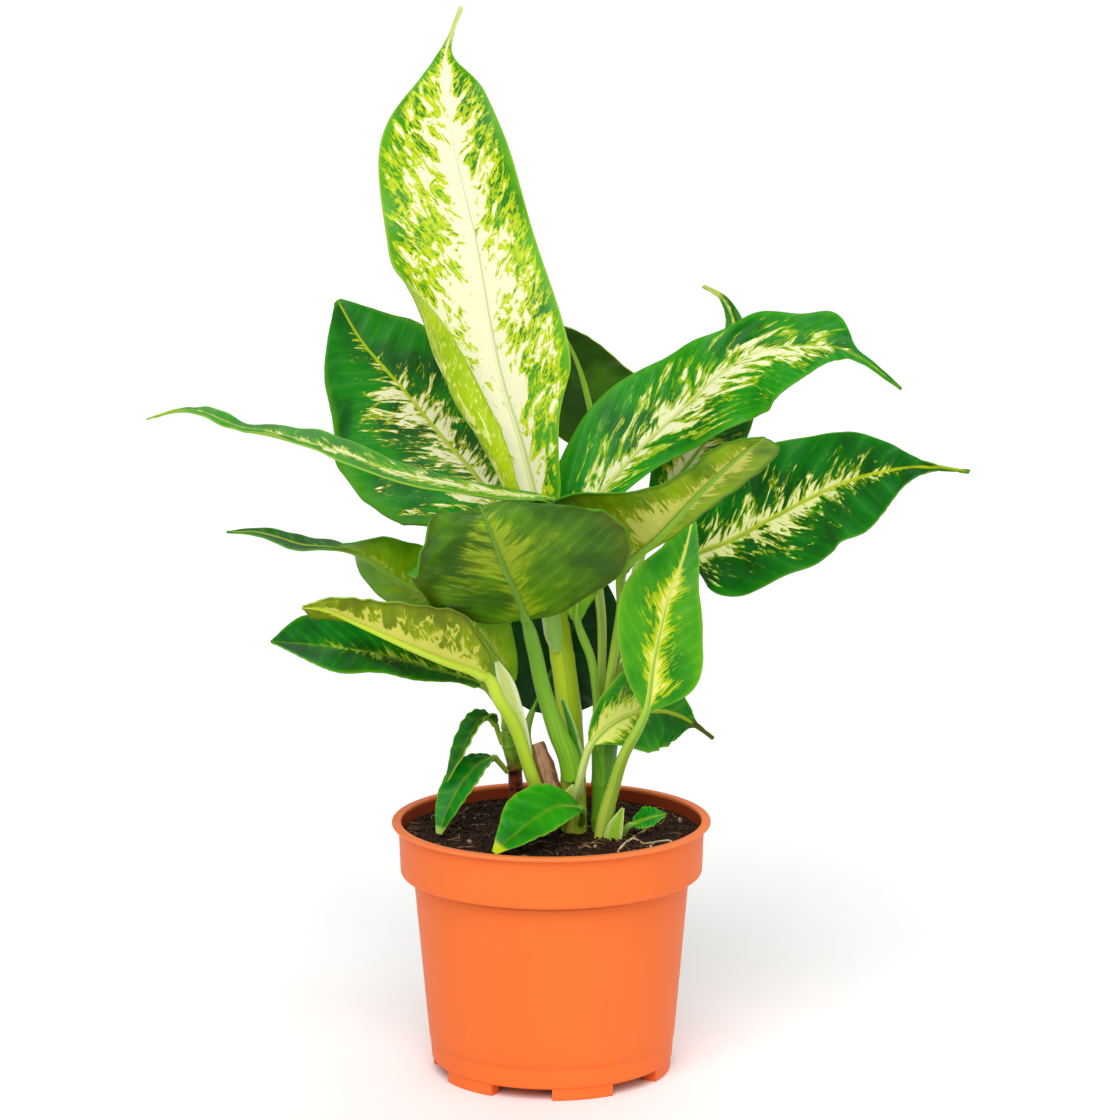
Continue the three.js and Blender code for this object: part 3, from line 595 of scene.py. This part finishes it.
leaves["frontLowLeaf"] = {
    "node": "leaf_front_low", "slot": "bright_leaf",
    "stalk": [(11.3, -2.9, 95), (12, -8, 100)], "stalkRadius": [1.4, 1.4],
    "spine": [(10, -14, 104), (2, -22, 106), (-7, -31, 103), (-14, -38, 99), (-21, -43, 94)],
    "face": [(0, -0.7, 0.7), (-0.1, -0.7, 0.7)], "left": [3, 8, 9, 6, 1], "right": [3, 11, 12, 7, 1],
    "rib": 0.8,
    "look": {"seed": 35, "deep": "15720f", "mid": "35962a", "tip": "c3d24a", "tipFrom": 0.86,
        "ribShow": 0.15, "veinShow": 0.15, "stalkTop": "3f8f22", "stalkFoot": "86b82c"},
}
leaves["smallRightLeaf"] = {
    "node": "leaf_small_right", "slot": "bright_leaf",
    "stalk": [(25, -7, 76), (26, -7, 88), (28, -8, 94)], "stalkRadius": [1.3, 1.3],
    "spine": [(31, -8, 96), (36, -9, 98), (43, -9, 100)], "face": (0, -0.5, 0.85), "left": [3, 6, 0.6],
    "right": [2.5, 5.5, 0.6], "rib": 0.6,
    "look": {"seed": 36, "deep": "176a1c", "mid": "2f8a34", "ribShow": 0.4, "stalkFoot": "8fb86a"},
}
leaves["frontRightLeaf"] = {
    "node": "leaf_front_right", "slot": "bright_leaf",
    "stalk": [(19, -8, 74), (19, -8, 88), (20, -9, 98), (23, -11, 110), (27, -16, 124)],
    "stalkRadius": [3, 3.2, 2.8, 2.2, 1.8],
    "spine": [(35, -22, 142), (38, -22, 161), (43, -20, 183), (49, -14, 199), (53, -4, 213)],
    "face": [(0.1, -1, 0.1), (0.1, -1, 0.2)], "left": [2, 8, 13, 17, 18, 14, 9, 6, 0.6],
    "right": [2, 15, 18, 16, 13, 9, 6, 3, 0.6], "fold": 10,
    "look": {**brightLook, "seed": 37,
        "reach": [(0, 0.16), (0.3, 0.06), (0.6, -0.06), (0.8, -0.35), (1, -0.8)], "heart": 0.1, "slant": 1,
        "streak": 1, "stretch": (260, 90), "gold": "bfd038", "cream": "e8e88c", "rib": "d9e07c",
        "halo": 0.2, "speck": 0.9, "stalkFoot": "c3d24c", "stalkTop": "9cc63c"},
}
leaves["rightUnderLeaf"] = {
    "node": "leaf_right_under", "slot": "olive_leaf",
    "stalk": [*standOn(rightTop, -80, 3.2), (22, -3, 150), (26, -7, 177)], "stalkRadius": [1.5, 1.9],
    "spine": [(27, -14, 194), (40, -32, 210), (53, -50, 228), (67, -70, 245), (74, -86, 253)],
    "face": (0.1, 0.6, 0.8), "left": [2, 3, 6, 9, 12, 13, 10, 0.6],
    "right": [14, 36, 38, 17, 10, 9, 5, 0.6], "sweep": (0, 0.15),
    "look": {**flameLook, "seed": 54, "deep": "0c4f10", "mid": "256f1c",
        "reach": [(0, 0.1), (0.2, 0.2), (0.5, 0.4), (0.8, 0.1), (1, -0.4)], "lean": -0.1, "brown": "2c4a0c",
        "brownShow": 0.7, "blotch": 1.8, "backDeep": "4f7a10", "backMid": "86a82c", "ray": "b0b84a",
        "backCream": "d9d880", "backCreamShow": 0.75, "rib": "d6d88a"},
}
leaves["upperRightLeaf"] = {
    "node": "leaf_upper_right", "slot": "dark_leaf",
    "stalk": [*standOn(rightTop, 130, 3.2), (19, 5, 150), (19, 8, 172), (16, 11, 193)],
    "stalkRadius": [1.5, 2],
    "spine": [(12, 13, 207), (30, 17.5, 230), (49, 20, 248), (64, 20, 262), (80, 18, 271), (104, 12, 273),
        (117, 8, 268), (130, 4, 258)],
    "face": [(-0.3, -0.8, 0.5), (-0.2, -0.8, 0.5)],
    "left": [15, 21, 25, 26, 23, 19, 16, 14.8, 15.6, 12.4, 12.8, 3.6, 1.8, 1, 0.4],
    "right": [4, 7, 10, 14, 19, 22, 24, 26, 25, 17, 7, 3, 1.8, 1, 0.4], "wave": (1.5, 3.5),
    "grid": (46, 140), "ruffle": (0.9, 6),
    "look": {**flameLook, "seed": 14, "deep": "0c5f14", "mid": "2a8c22", "fresh": "66b83a",
        "reach": [(0, -0.05), (0.25, 0), (0.6, 0), (0.7, -0.15), (0.8, -0.7), (1, -0.9)], "ribShow": 0.3,
        "heart": 0.2, "stalkTop": "d5dc84", "lean": -0.1, "blotch": 4.2, "cream": "ebecc0",
        "speckReach": 0.8, "speck": 0.8, "slant": 1.7, "stretch": (130, 150)},
}
leaves["rightLeaf"] = {
    "node": "leaf_right", "slot": "dark_leaf",
    "stalk": [*standOn(rightTop, -10, 3.2), (27, 5, 152), (38, 10, 176)], "stalkRadius": [1.5, 2],
    "spine": [(52, 12, 193), (67, 5, 201), (85, -6, 213), (104, -18, 225), (119, -30, 232), (135, -42, 236),
        (149, -54, 236)],
    "face": (-0.1, -0.85, 0.5), "left": [8, 25, 26, 21, 13, 1.5, 0.6],
    "right": [12, 23, 25, 25, 21, 3, 0.6], "wave": (2, 4), "quilt": 1.2, "grid": (46, 140),
    "look": {**flameLook, "seed": 15, "deep": "06480e", "mid": "156a1a", "fresh": "3f8f30",
        "reach": [(0, 0.22), (0.3, 0.1), (0.5, -0.04), (0.65, -0.3), (0.8, -0.7), (1, -0.9)], "blotch": 3.2,
        "stretch": (230, 110), "heart": 0.25, "slant": 1, "gap": 0.0085, "veinShow": 0.35,
        "stalkTop": "a9b83a", "streak": 1.3, "gold": "9dba2c", "cream": "e6e8ac", "rib": "bcca3e"},
}
leaves["backLeaf"] = {
    "node": "leaf_back", "slot": "olive_leaf",
    "stalk": [*standOn(mainTop, 25, 3), (6, 13, 191), (10, 26, 200), (16, 45, 213)],
    "stalkRadius": [1.7, 1.8],
    "spine": [(19, 60, 227), (16, 66, 242), (12, 68, 257), (7, 66, 269), (3, 60, 276)],
    "face": (0.2, 1, 0.2), "left": [8, 24, 15, 7, 0.6], "right": [8, 20, 20, 12, 0.6],
    "look": {"seed": 55, "backDeep": "24480a", "backMid": "3f6a16", "ray": "5f7f22", "rayShow": 0.3,
        "deep": "0a4a10", "mid": "1f6a1a"},
}
leaves["backRightLeaf"] = {
    "node": "leaf_back_right", "slot": "dark_leaf",
    "stalk": [*standOn(rightTop, 60, 3.2), (24, 9, 152), (32, 20, 185)], "stalkRadius": [1.5, 1.9],
    "spine": [(40, 30, 210), (51, 38, 223), (62, 48, 237), (69, 60, 255), (72, 72, 271), (68, 80, 283),
        (60, 88, 288)],
    "face": (-0.2, -0.8, 0.5), "left": [4, 15, 19, 16, 5, 1.4, 0.6], "right": [4, 14, 15, 12, 5, 1.8, 0.6],
    "look": {**flameLook, "seed": 16, "deep": "0f560e", "mid": "2a7a1a", "gold": "c9cc3a", "rib": "b5c85a",
        "ribShow": 0.6, "reach": [(0, 0.25), (0.4, 0.2), (0.7, -0.1), (1, -0.6)], "blotch": 1.8,
        "tip": "b9c46a", "tipFrom": 0.84},
}
leaves["lowRightLeaf"] = {
    "node": "leaf_low_right", "slot": "bright_leaf",
    "stalk": [(8.3, -4.3, 102), (9, -9, 107), (10.5, -13, 113), (12, -14.5, 120)],
    "stalkRadius": [1.9, 1.6, 1.5],
    "spine": [(15, -14, 128), (23, -8, 134.5), (33, -2, 137.5), (42, 2, 137), (48, 3, 135), (51, 3, 133.5),
        (54, 3, 131.5), (61, 3, 126)],
    "face": [(0.2, -1, 0), (0, -1, 0)], "left": [3, 12, 19, 13, 7, 4, 1.4, 0.6],
    "right": [2, 10, 15.5, 15, 12.5, 9, 1.4, 0.6],
    "look": {**brightLook, "seed": 38, "deep": "0f5e0e", "mid": "2a8a1c", "gold": "c3d650",
        "cream": "dfe68a", "reach": [(0, 0.8), (0.2, 0.35), (0.36, -0.3), (1, -0.9)], "tip": "4f5a1c",
        "tipFrom": 0.8, "stalkFoot": "d9e08c", "stalkTop": "a9c83c"},
}
leaves["innerLeftLeaf"] = {
    "node": "leaf_inner_left", "slot": "dark_leaf",
    "stalk": [(3.3, 5.8, 101), (-1, 8.5, 106), (-6, 11, 114), (-9, 13, 125)], "stalkRadius": [1.4, 1.5],
    "spine": [(-7, 17, 134), (-1, 20, 146), (6, 22, 160), (12, 22, 175), (17, 21, 190)],
    "face": [(-0.1, -1, 0.2), (0, -1, 0.1)], "left": [7, 19, 22, 16, 0.6], "right": [9, 21, 22, 16, 0.6],
    "rib": 0.9,
    # a dark green leaf whose greens are deepened to near black: painted shade of the dense foliage behind
    # the stems
    "look": {"seed": 17, "deep": "032c06", "mid": "0b420c", "fresh": "14561a", "rib": "2c6a1c",
        "rim": "2c6a1c"},
}
leaves["innerRightLeaf"] = {
    "node": "leaf_inner_right", "slot": "bright_leaf",
    "stalk": [*standOn(rightTop, 205, 3.2), (17, 0, 143), (15, -3, 158)], "stalkRadius": [1.5, 1.7],
    "spine": [(10, -7, 173), (10, -9, 186), (11, -12, 200), (14, -13, 214)], "face": (0, 1, 0.1),
    "left": [2, 8, 7, 0.6], "right": [2, 8, 7, 0.6], "rib": 0.9,
    "look": {**brightLook, "seed": 39, "backDeep": "4f9a12", "backMid": "7fbe22", "stalkFoot": "7fae2e"},
}
for name, leaf in leaves.items():
    makeLeaf(name, leaf)
print("leaves made:", len(leaves))


# Canes: green tubes with the rings that fallen leaves leave
caneShape = {"knob": 0.25, "brown": 0, "grid": (28, 120)}
canes = {}
canes["mainCane"] = {
    "node": "cane_main", "slot": "green_cane",
    "line": [(8.6, 2, 66), (8.6, 2, 84), (8.4, 3, 106), (7, 5, 135), (4, 7, 159), (2.2, 8, 171),
        (2, 8, 178)],
    "radius": [4.6, 4.8, 4.8, 4.8, 4.6, 4.6, 4.6], "rings": 7, "foot": "c9dc4a", "top": "bcd416",
    "dark": 0.3,
}
canes["rightCane"] = {
    "node": "cane_right", "slot": "green_cane",
    "line": [(19.3, 2, 66), (19.3, 2, 84), (20, 2, 107), (20, 2, 128)], "radius": [4.2, 4.4, 4.8, 5],
    "rings": 5, "foot": "9ab82c", "top": "5fa01c", "dark": 0.5,
}
canes["leftCane"] = {
    "node": "cane_left", "slot": "brown_cane",
    "line": [(-12, 14, 70), (-12, 14, 87), (-13, 13, 100), (-14, 12, 114), (-15.9, 11, 124),
        (-16, 11, 128)],
    "radius": [3, 3.2, 3, 2.8, 2.8, 2.8], "rings": 6, "knob": 0.5, "foot": "7f9a2c", "top": "86bc2c",
    "dark": 0.4, "brown": 0.62,
}


def canePlacer(cane):
    lengths = lengthTable(cane.line)

    def place(x, y):
        made = frameAt(cane.line, y, Vector((0, -1, 0)))
        angle = pi * x - pi / 2
        beat = (y * cane.rings) % 1
        ring = exp(-(((beat - 0.5) / 0.09) ** 2))
        lump = noise.noise(Vector((cos(angle) * 2, sin(angle) * 2, y * 9)))
        closing = sqrt(max(0, 1 - max(0, (y - 0.985) / 0.015) ** 2))
        size = along(cane.radius, y) + cane.knob * ring + cane.knob * lump - 0.1
        size *= 0.4 + 0.6 * closing
        return ringSpot(made, size, angle), (x, y), (angle * size, lookUp(lengths, y))

    return place


for name, cane in canes.items():
    cane = merged(caneShape, cane)
    bm = bmesh.new()
    closeTube(bm, addSheet(bm, cane.grid, canePlacer(cane)))
    skin = stalkSkin(name + "Skin", cane.foot, cane.top, cane.dark, cane.brown)
    settle(meshObject(name, bm), [skin], [cane.node])
print("canes made")


# Flaps: the dried sheath and the thin clasping edges at stalk feet
flapShape = {"nodes": [], "crinkle": 0.2, "fold": 6, "thickness": 0.4, "grid": (20, 50)}
flaps = {}
flaps["driedSheath"] = {
    "slot": "dried_sheath", "nodes": ["dried_sheath"],
    "spine": [(2.8, -1.6, 101), (-0.4, -2.4, 110), (-3.2, -3.4, 118), (-5.5, -3.2, 126)],
    "face": (0.45, -0.9, 0.1), "width": [2.2, 3.8, 4.1, 2.9], "curl": 50, "crinkle": 0.8,
    "middle": "c99c78", "rim": "8a5636", "spot": "5e3820",
}
flaps["ligule"] = {
    "slot": "green_cane",
    "spine": [(2.4, 1.9, 159.5), (2.1, 2.1, 162.5), (1.6, 2.3, 166), (0.8, 2.6, 171), (0.2, 2.9, 176)],
    "face": (0, 1, 0), "width": [1.8, 4.4, 5.7, 5.7, 5.2], "curl": 75, "middle": "9cc85a", "rim": "cfe2a0",
    "spot": "7fb03a",
}
flaps["lowLeftWing"] = {
    "slot": "olive_leaf",
    "spine": [(-20, -16.5, 160), (-17, -15.5, 152), (-13.6, -14, 142), (-10.2, -11.5, 130),
        (-7.2, -9, 118)],
    "face": (0.2, -1, 0.1), "width": [0.8, 3.2, 3, 2.2, 0.6], "curl": 25, "middle": "d3df86",
    "rim": "eef2c8", "spot": "b5cf5a",
}
flaps["frontWing"] = {
    "slot": "olive_leaf",
    "spine": [(8.8, -5, 107), (10.2, -4.6, 117), (8.8, -5.8, 126), (6.8, -7.6, 135), (4.2, -10.4, 144)],
    "face": (0.2, 1, 0), "width": [3, 3, 2.4, 1.8, 0.6], "curl": 30, "middle": "3f8a14", "rim": "b5cf8a",
    "spot": "2f7a10",
}
flaps["lowRightWing"] = {
    "slot": "bright_leaf",
    "spine": [(5.8, -5.4, 99), (6.6, -8, 105), (8.8, -11.4, 111.5)], "face": (0, 1, 0.3),
    "width": [2.6, 3.6, 1.2], "curl": 65, "middle": "c3d85a", "rim": "e0e8a0", "spot": "9cc63c",
}
flaps["smallRightWing"] = {
    "slot": "bright_leaf",
    "spine": [(22.2, -12.3, 86), (23.8, -12.2, 94.5), (26.8, -11.6, 103)], "face": (-0.3, -1, 0.2),
    "width": [3, 3.6, 0.5], "curl": 30, "middle": "93bf2c", "rim": "c8dc7a", "spot": "6fa51c",
}


def flapSkin(name, flap):
    board = Board(name)
    x, s = board.layer("span")
    fibres = board.grain((x * 1800, s * 60, 2), 1, 4)
    spots = board.grain((x, s, 0), 420, 3)
    edge = abs(board.layer("share")[0])
    skin = board.mix((edge + fibres * 0.4).rise(0.5, 1.1), flap.middle, flap.rim)
    skin = board.mix(fibres.rise(0.5, 0.62) * spots.rise(0.4, 0.65) * 0.8, skin, flap.spot)
    depth = 0.0002 * (1 + flap.crinkle)
    return board.finish(skin, 0.5 + spots * 0.2, fibres + spots * 0.5, depth, 0.6, 0.2)


def flapPlacer(flap):
    lengths = lengthTable(flap.spine)

    def place(x, y):
        made = frameAt(flap.spine, y, Vector(flap.face))
        width = along(flap.width, y)
        out, rise, slope = across(abs(x), width, flap.fold * degree, flap.curl * degree, 0)
        side = 1 if x > 0 else -1
        crinkle = flap.crinkle * noise.noise(Vector((x * 3, y * 7, 1)))
        spot = made.origin + made.right * side * out + made.up * (rise + crinkle)
        return spot, (x, y), (x * width, lookUp(lengths, y))

    return place


for name, flap in flaps.items():
    flap = merged(flapShape, flap)
    bm = bmesh.new()
    addSheet(bm, flap.grid, flapPlacer(flap))
    made = meshObject(name, bm)
    thicken(made, flap.thickness)
    bake(made)
    settle(made, [flapSkin(name + "Skin", flap)], flap.nodes)
print("flaps made:", len(flaps))


# Pot
def bend(start, corner, end, steps=8):
    # Points of a quadratic bend.
    def mixed(t):
        return [(1 - t) ** 2 * a + 2 * t * (1 - t) * b + t * t * c for a, b, c in zip(start, corner, end)]

    return [mixed(i / steps) for i in range(steps + 1)]


pot = {
    # Radius and height round the wall, from the middle of its underside to the middle of its floor
    "outline": [
        (0.01, 4.4), *bend((44.2, 4.4), (45.7, 4.4), (45.7, 5.9)),
        *bend((46.05, 11.4), (45.8, 12), (46.45, 12.8)), (46.8, 16.2),  # crease
        *bend((51.8, 73.2), (52, 75.2), (52.8, 75.3), 5),  # shoulder
        *bend((55.3, 75.9), (56.9, 76.1), (56.9, 77.6)),
        *bend((57.48, 94.2), (57.5, 94.7), (58, 94.7), 4),  # lip
        *bend((59.3, 94.7), (60, 94.7), (60, 95.4), 5), *bend((60, 95.4), (60, 96.2), (59.3, 96.2), 5)[1:],
        *bend((57.2, 96.2), (56.5, 96.2), (56.5, 95.5), 5), (55.9, 77.6), (51, 76), (45.5, 12.8),  # inside
        *bend((44.7, 8.2), (44.7, 6.2), (42.7, 6.2))[1:], (0.01, 6.2),
    ],
    "footOutline": [(40, 0), (44.4, 0), (45, 0.6), (45, 4.8), (39.5, 4.8), (39.5, 0.5), (40, 0)],
    "sides": 160, "sharpAngle": 35, "footCount": 6, "footArc": 30, "footSteps": 14, "drainCount": 6,
    "drainRadius": 4.5, "drainSides": 40, "drainRing": 31, "drainHeight": 4.4, "drainDepth": 12,
}


def spun(bm, outline, steps, angle=2 * pi, start=0):
    turn = Matrix.Rotation(start, 3, "Z")
    verts = [bm.verts.new(turn @ Vector((x * mm, 0, z * mm))) for x, z in outline]
    edges = [bm.edges.new(pair) for pair in zip(verts, verts[1:])]
    full = angle == 2 * pi
    bmesh.ops.spin(bm, geom=verts + edges, axis=(0, 0, 1), angle=angle, steps=steps, use_merge=full)


def potPlastic():
    board = Board("potPlastic")
    spot = board.spot()
    height = board.axis(spot, "Z")
    cloud = board.grain(spot, 22, 3)
    grit = board.grain(spot, 1800)
    drawn = board.node("ShaderNodeMapping", {}, {"Vector": spot, "Scale": (1, 1, 0.25)})
    scuffs = board.grain(drawn, 240, 4, 0.7)
    colour = board.mix(cloud, "ec6c2a", "f27633")
    colour = board.mix(height.rise(0.0941, 0.0949) * 0.45, colour, "f58a52")  # lip: painted highlight, a lighter band over the rolled rim
    colour = board.mix(scuffs.rise(0.62, 0.8) * 0.2, colour, "f6986a")
    level = board.node("ShaderNodeVectorMath", {"operation": "MULTIPLY"}, {0: spot, 1: (1, 1, 0)})
    radius = board.node("ShaderNodeVectorMath", {"operation": "LENGTH"}, {0: level}, "Value")
    # painted shade: the inner wall above the shoulder and below the lip darkened to deep red-brown
    inside = (1 - (radius - height * 0.035).rise(0.0535, 0.0539)) * height.rise(0.0766, 0.0774)
    inside = inside * (1 - height.rise(0.0948, 0.0954))
    colour = board.mix(inside * 0.8, colour, "7c2410")
    shoulderShade = height.rise(0.0738, 0.0752) * (1 - height.rise(0.0756, 0.0764)) * (1 - inside)
    colour = board.mix(shoulderShade * 0.8, colour, "a83c14")  # painted shade below the shoulder
    roughness = 0.42 + cloud * 0.1 + scuffs.rise(0.55, 0.75) * 0.12
    return board.finish(colour, roughness, grit * 0.5 + cloud, 0.00015, 0.35, 0.15)


bm = bmesh.new()
spun(bm, pot["outline"], pot["sides"])
bmesh.ops.remove_doubles(bm, verts=bm.verts, dist=0.02 * mm)
bmesh.ops.recalc_face_normals(bm, faces=bm.faces)
shell = meshObject("nurseryPot", bm)
bm = bmesh.new()
for i in range(pot["drainCount"]):
    bearing = (i + 0.5) * 2 * pi / pot["drainCount"]
    ring, radius = pot["drainRing"], pot["drainRadius"] * mm
    spot = (ring * cos(bearing) * mm, ring * sin(bearing) * mm, pot["drainHeight"] * mm)
    bmesh.ops.create_cone(
        bm, cap_ends=True, segments=pot["drainSides"], radius1=radius, radius2=radius,
        depth=pot["drainDepth"] * mm, matrix=Matrix.Translation(spot)
    )
drills = meshObject("drills", bm)
bm = bmesh.new()
for i in range(pot["footCount"]):
    bearing = (360 / pot["footCount"] * i - 90) * degree
    spun(bm, pot["footOutline"], pot["footSteps"], pot["footArc"] * degree, bearing)
bmesh.ops.remove_doubles(bm, verts=bm.verts, dist=0.001 * mm)
fillHoles(bm)
feet = meshObject("feet", bm)
for helper, operation in ((drills, "DIFFERENCE"), (feet, "UNION")):
    cut = shell.modifiers.new(helper.name, "BOOLEAN")
    cut.operation = operation
    cut.solver = "EXACT"
    cut.object = helper
bake(shell)
for helper in (drills, feet):
    bpy.data.objects.remove(helper)
settle(shell, [potPlastic()], ["pot"])
shell.data.set_sharp_from_angle(angle=pot["sharpAngle"] * degree)
print("pot made")


# Soil: a lumpy bed with crumbs, fibres, small stones, moss and surface roots on it
soil = {
    "level": 91, "reach": 55.95, "lump": 1.7, "skirt": 6, "rings": 90, "sides": 240, "seed": 7,
}


def soilHeight(x, y):
    spread = hypot(x, y) / soil["reach"]
    lumps = noise.fractal(Vector((x * 0.09, y * 0.09, 2)), 0.9, 2.1, 5)
    grit = noise.fractal(Vector((x * 0.5, y * 0.5, 7)), 0.8, 2, 3)
    edge = min(1, (1 - spread) * 12)
    return soil["level"] + soil["lump"] * (0.55 * lumps + 0.22 * grit) * (0.25 + 0.75 * edge)


def soilSkin():
    board = Board("pottingSoil")
    spot = board.spot()
    clods = board.grain(spot, 260, 4, 0.65)
    cells = board.node("ShaderNodeTexVoronoi", {}, {"Vector": spot, "Scale": 900})
    colour = board.mix(clods.rise(0.35, 0.7), "140a06", "3c2213")
    colour = board.mix(board.grain(spot, 1500).rise(0.66, 0.72) * 0.7, colour, "6f5034")
    return board.finish(colour, 0.92, clods + cells * 0.5, 0.0012, 1, 0.2)


def plainSkin(name, dark, light, scale, roughness):
    board = Board(name)
    mottle = board.grain(board.spot(), scale, 4, 0.6)
    colour = board.mix(mottle.rise(0.3, 0.7), dark, light)
    return board.finish(colour, roughness, mottle, 0.0005, 0.8, 0.3)


bm = bmesh.new()
outline = [(soil["reach"] * i / soil["rings"], 0) for i in range(soil["rings"] + 1)]
outline[0] = (0.01, 0)
spun(bm, outline, soil["sides"])
bmesh.ops.remove_doubles(bm, verts=bm.verts, dist=0.04 * mm)
for vert in bm.verts:
    vert.co.z = soilHeight(vert.co.x / mm, vert.co.y / mm) * mm
skirt = bmesh.ops.extrude_edge_only(bm, edges=[edge for edge in bm.edges if edge.is_boundary])["geom"]
for vert in [item for item in skirt if isinstance(item, bmesh.types.BMVert)]:
    vert.co.z -= soil["skirt"] * mm
fillHoles(bm)
settle(meshObject("soilBed", bm), [soilSkin()], ["soil"])


# What lies on the bed. A skin is a name, two colours, the scale of its grain and its roughness.
loose = {
    "soilCrumbs": {"count": 1500, "size": (0.4, 1.3), "skin": ("peatCrumb", "140a05", "4a2c16", 500, 0.95)},
    "soilFibres": {
        "count": 130, "size": (0.1, 0.24), "skin": ("peatFibre", "5a3c22", "b08a5c", 300, 0.9),
        "length": (3, 11), "grid": (5, 6),
    },
    "soilStones": {"count": 10, "size": (0.6, 1.5), "skin": ("paleStone", "7a6a52", "b8a88c", 400, 0.7)},
    "soilMoss": {"count": 60, "size": (0.3, 0.8), "skin": ("mossBit", "2f3a12", "6f7a2c", 700, 0.9)},
}
surfaceRoots = {
    "paths": [
        {"spots": [(24.3, -33), (27, -24), (29.8, -12), (33, -7), (35.7, -2)], "radius": 0.5},
        {"spots": [(28.6, -17), (31, -14), (34.5, -16), (37.2, -18)], "radius": 0.35},
        {"spots": [(36.5, -27), (38, -20), (41, -16), (44, -17), (46, -22)], "radius": 0.4},
        {"spots": [(30, -38), (36, -35), (41, -31)], "radius": 0.3},
    ],
    "skin": ("rootSkin", "b09468", "ddcca0", 300, 0.7), "grid": (10, 40),
}


def crumb(bm, draw, kind, x, y):
    radius = draw.uniform(*kind["size"])
    turn = Euler([draw.uniform(0, 6.3) for _ in range(3)]).to_matrix().to_4x4()
    flatten = Matrix.Diagonal((draw.uniform(0.7, 1.3), draw.uniform(0.6, 1), draw.uniform(0.5, 0.9), 1))
    place = Matrix.Translation((x * mm, y * mm, (soilHeight(x, y) + radius * 0.25) * mm)) @ turn @ flatten
    for vert in bmesh.ops.create_icosphere(bm, subdivisions=1, radius=radius * mm, matrix=place)["verts"]:
        vert.co += Vector([draw.uniform(-0.16, 0.16) * radius * mm for _ in range(3)])


def thread(bm, points, radius, grid):
    def place(a, b):
        made = frameAt(points, b, Vector((0, 0, 1)))
        return ringSpot(made, radius, pi * a), (a, b), (a, b)

    closeTube(bm, addSheet(bm, grid, place))


def fibre(bm, draw, kind, x, y):
    length = draw.uniform(*kind["length"])
    bearing = draw.uniform(0, 2 * pi)
    sway = draw.uniform(-0.9, 0.9)
    radius = draw.uniform(*kind["size"])
    points = []
    for i in range(5):
        share = i / 4 - 0.5
        px = x + length * share * cos(bearing + sway * share)
        py = y + length * share * sin(bearing + sway * share)
        if hypot(px, py) > soil["reach"] - 1:
            px, py = px * 0.9, py * 0.9
        height = soilHeight(px, py) + 0.25
        points.append((px, py, height + draw.uniform(0, 0.8) * (1 - abs(2 * share))))
    thread(bm, points, radius, kind["grid"])


for name, kind in loose.items():
    build = fibre if "length" in kind else crumb
    draw = random.Random(soil["seed"] + len(name))
    bm = bmesh.new()
    for _ in range(kind["count"]):
        reach = soil["reach"] * 0.975 * sqrt(draw.random())
        bearing = draw.uniform(-pi, pi)
        build(bm, draw, kind, reach * cos(bearing), reach * sin(bearing))
    settle(meshObject(name, bm), [plainSkin(*kind["skin"])])
bm = bmesh.new()
for path in surfaceRoots["paths"]:
    spots = enumerate(path["spots"])
    points = [(x, y, soilHeight(x, y) + 0.4 + 0.5 * sin(i * 2.2)) for i, (x, y) in spots]
    thread(bm, points, path["radius"], surfaceRoots["grid"])
settle(meshObject("surfaceRoots", bm), [plainSkin(*surfaceRoots["skin"])])
print("soil made")


# Stage, lights and camera
stage = {
    "floorSize": 60,
    "lights": {
        "keySun": {"from": (-0.2, -1, 1.05), "softness": 45, "strength": 2.05},
        "fillSun": {"from": (0.8, -0.9, 0.9), "softness": 70, "strength": 0.5},
        "backSun": {"from": (0.2, 1, 1.6), "softness": 60, "strength": 0.7},
    },
    "sky": 0.38,
}
bm = bmesh.new()
bmesh.ops.create_grid(bm, x_segments=1, y_segments=1, size=stage["floorSize"])
floor = meshObject("floor", bm)
floor.data.materials.append(Board("stageWhite").finish("ffffff", 0.9, specular=0.2))

for name, light in stage["lights"].items():
    sun = bpy.data.lights.new(name, "SUN")
    sun.angle = light["softness"] * degree
    sun.energy = light["strength"]
    addObject(name, sun).rotation_euler = Vector(light["from"]).to_track_quat("Z", "Y").to_euler()

world = bpy.data.worlds.new("studio")
bpy.context.scene.world = world
world.use_nodes = True
world.node_tree.nodes["Background"].inputs["Color"].default_value = (1, 1, 1, 1)
world.node_tree.nodes["Background"].inputs["Strength"].default_value = stage["sky"]
bpy.context.scene.view_settings.view_transform = "Standard"

# Camera of the photograph, in metres and radians, with focal length and frame in its pixels
view = {
    "distance": 1.4, "rise": 0.2446, "aim": 0.1750, "turn": 0.0026, "roll": -0.0025, "focal": 3709.4,
    "frame": 1120, "sensor": 36, "target": 0.0961,
}
cameraData = bpy.data.cameras.new("photoCamera")
cameraData.sensor_width = view["sensor"]
cameraData.lens = view["sensor"] * view["focal"] / view["frame"]
camera = addObject("photoCamera", cameraData)
back, lift = cos(view["rise"]), sin(view["rise"])
camera.location = (0, -view["distance"] * back, view["target"] + view["distance"] * lift)
turn = Matrix.Rotation(-view["turn"], 4, "Z")
pitch = Matrix.Rotation(pi / 2 - view["aim"], 4, "X")
camera.rotation_euler = (turn @ pitch @ Matrix.Rotation(view["roll"], 4, "Z")).to_euler()
bpy.context.scene.camera = camera
print("stage set")
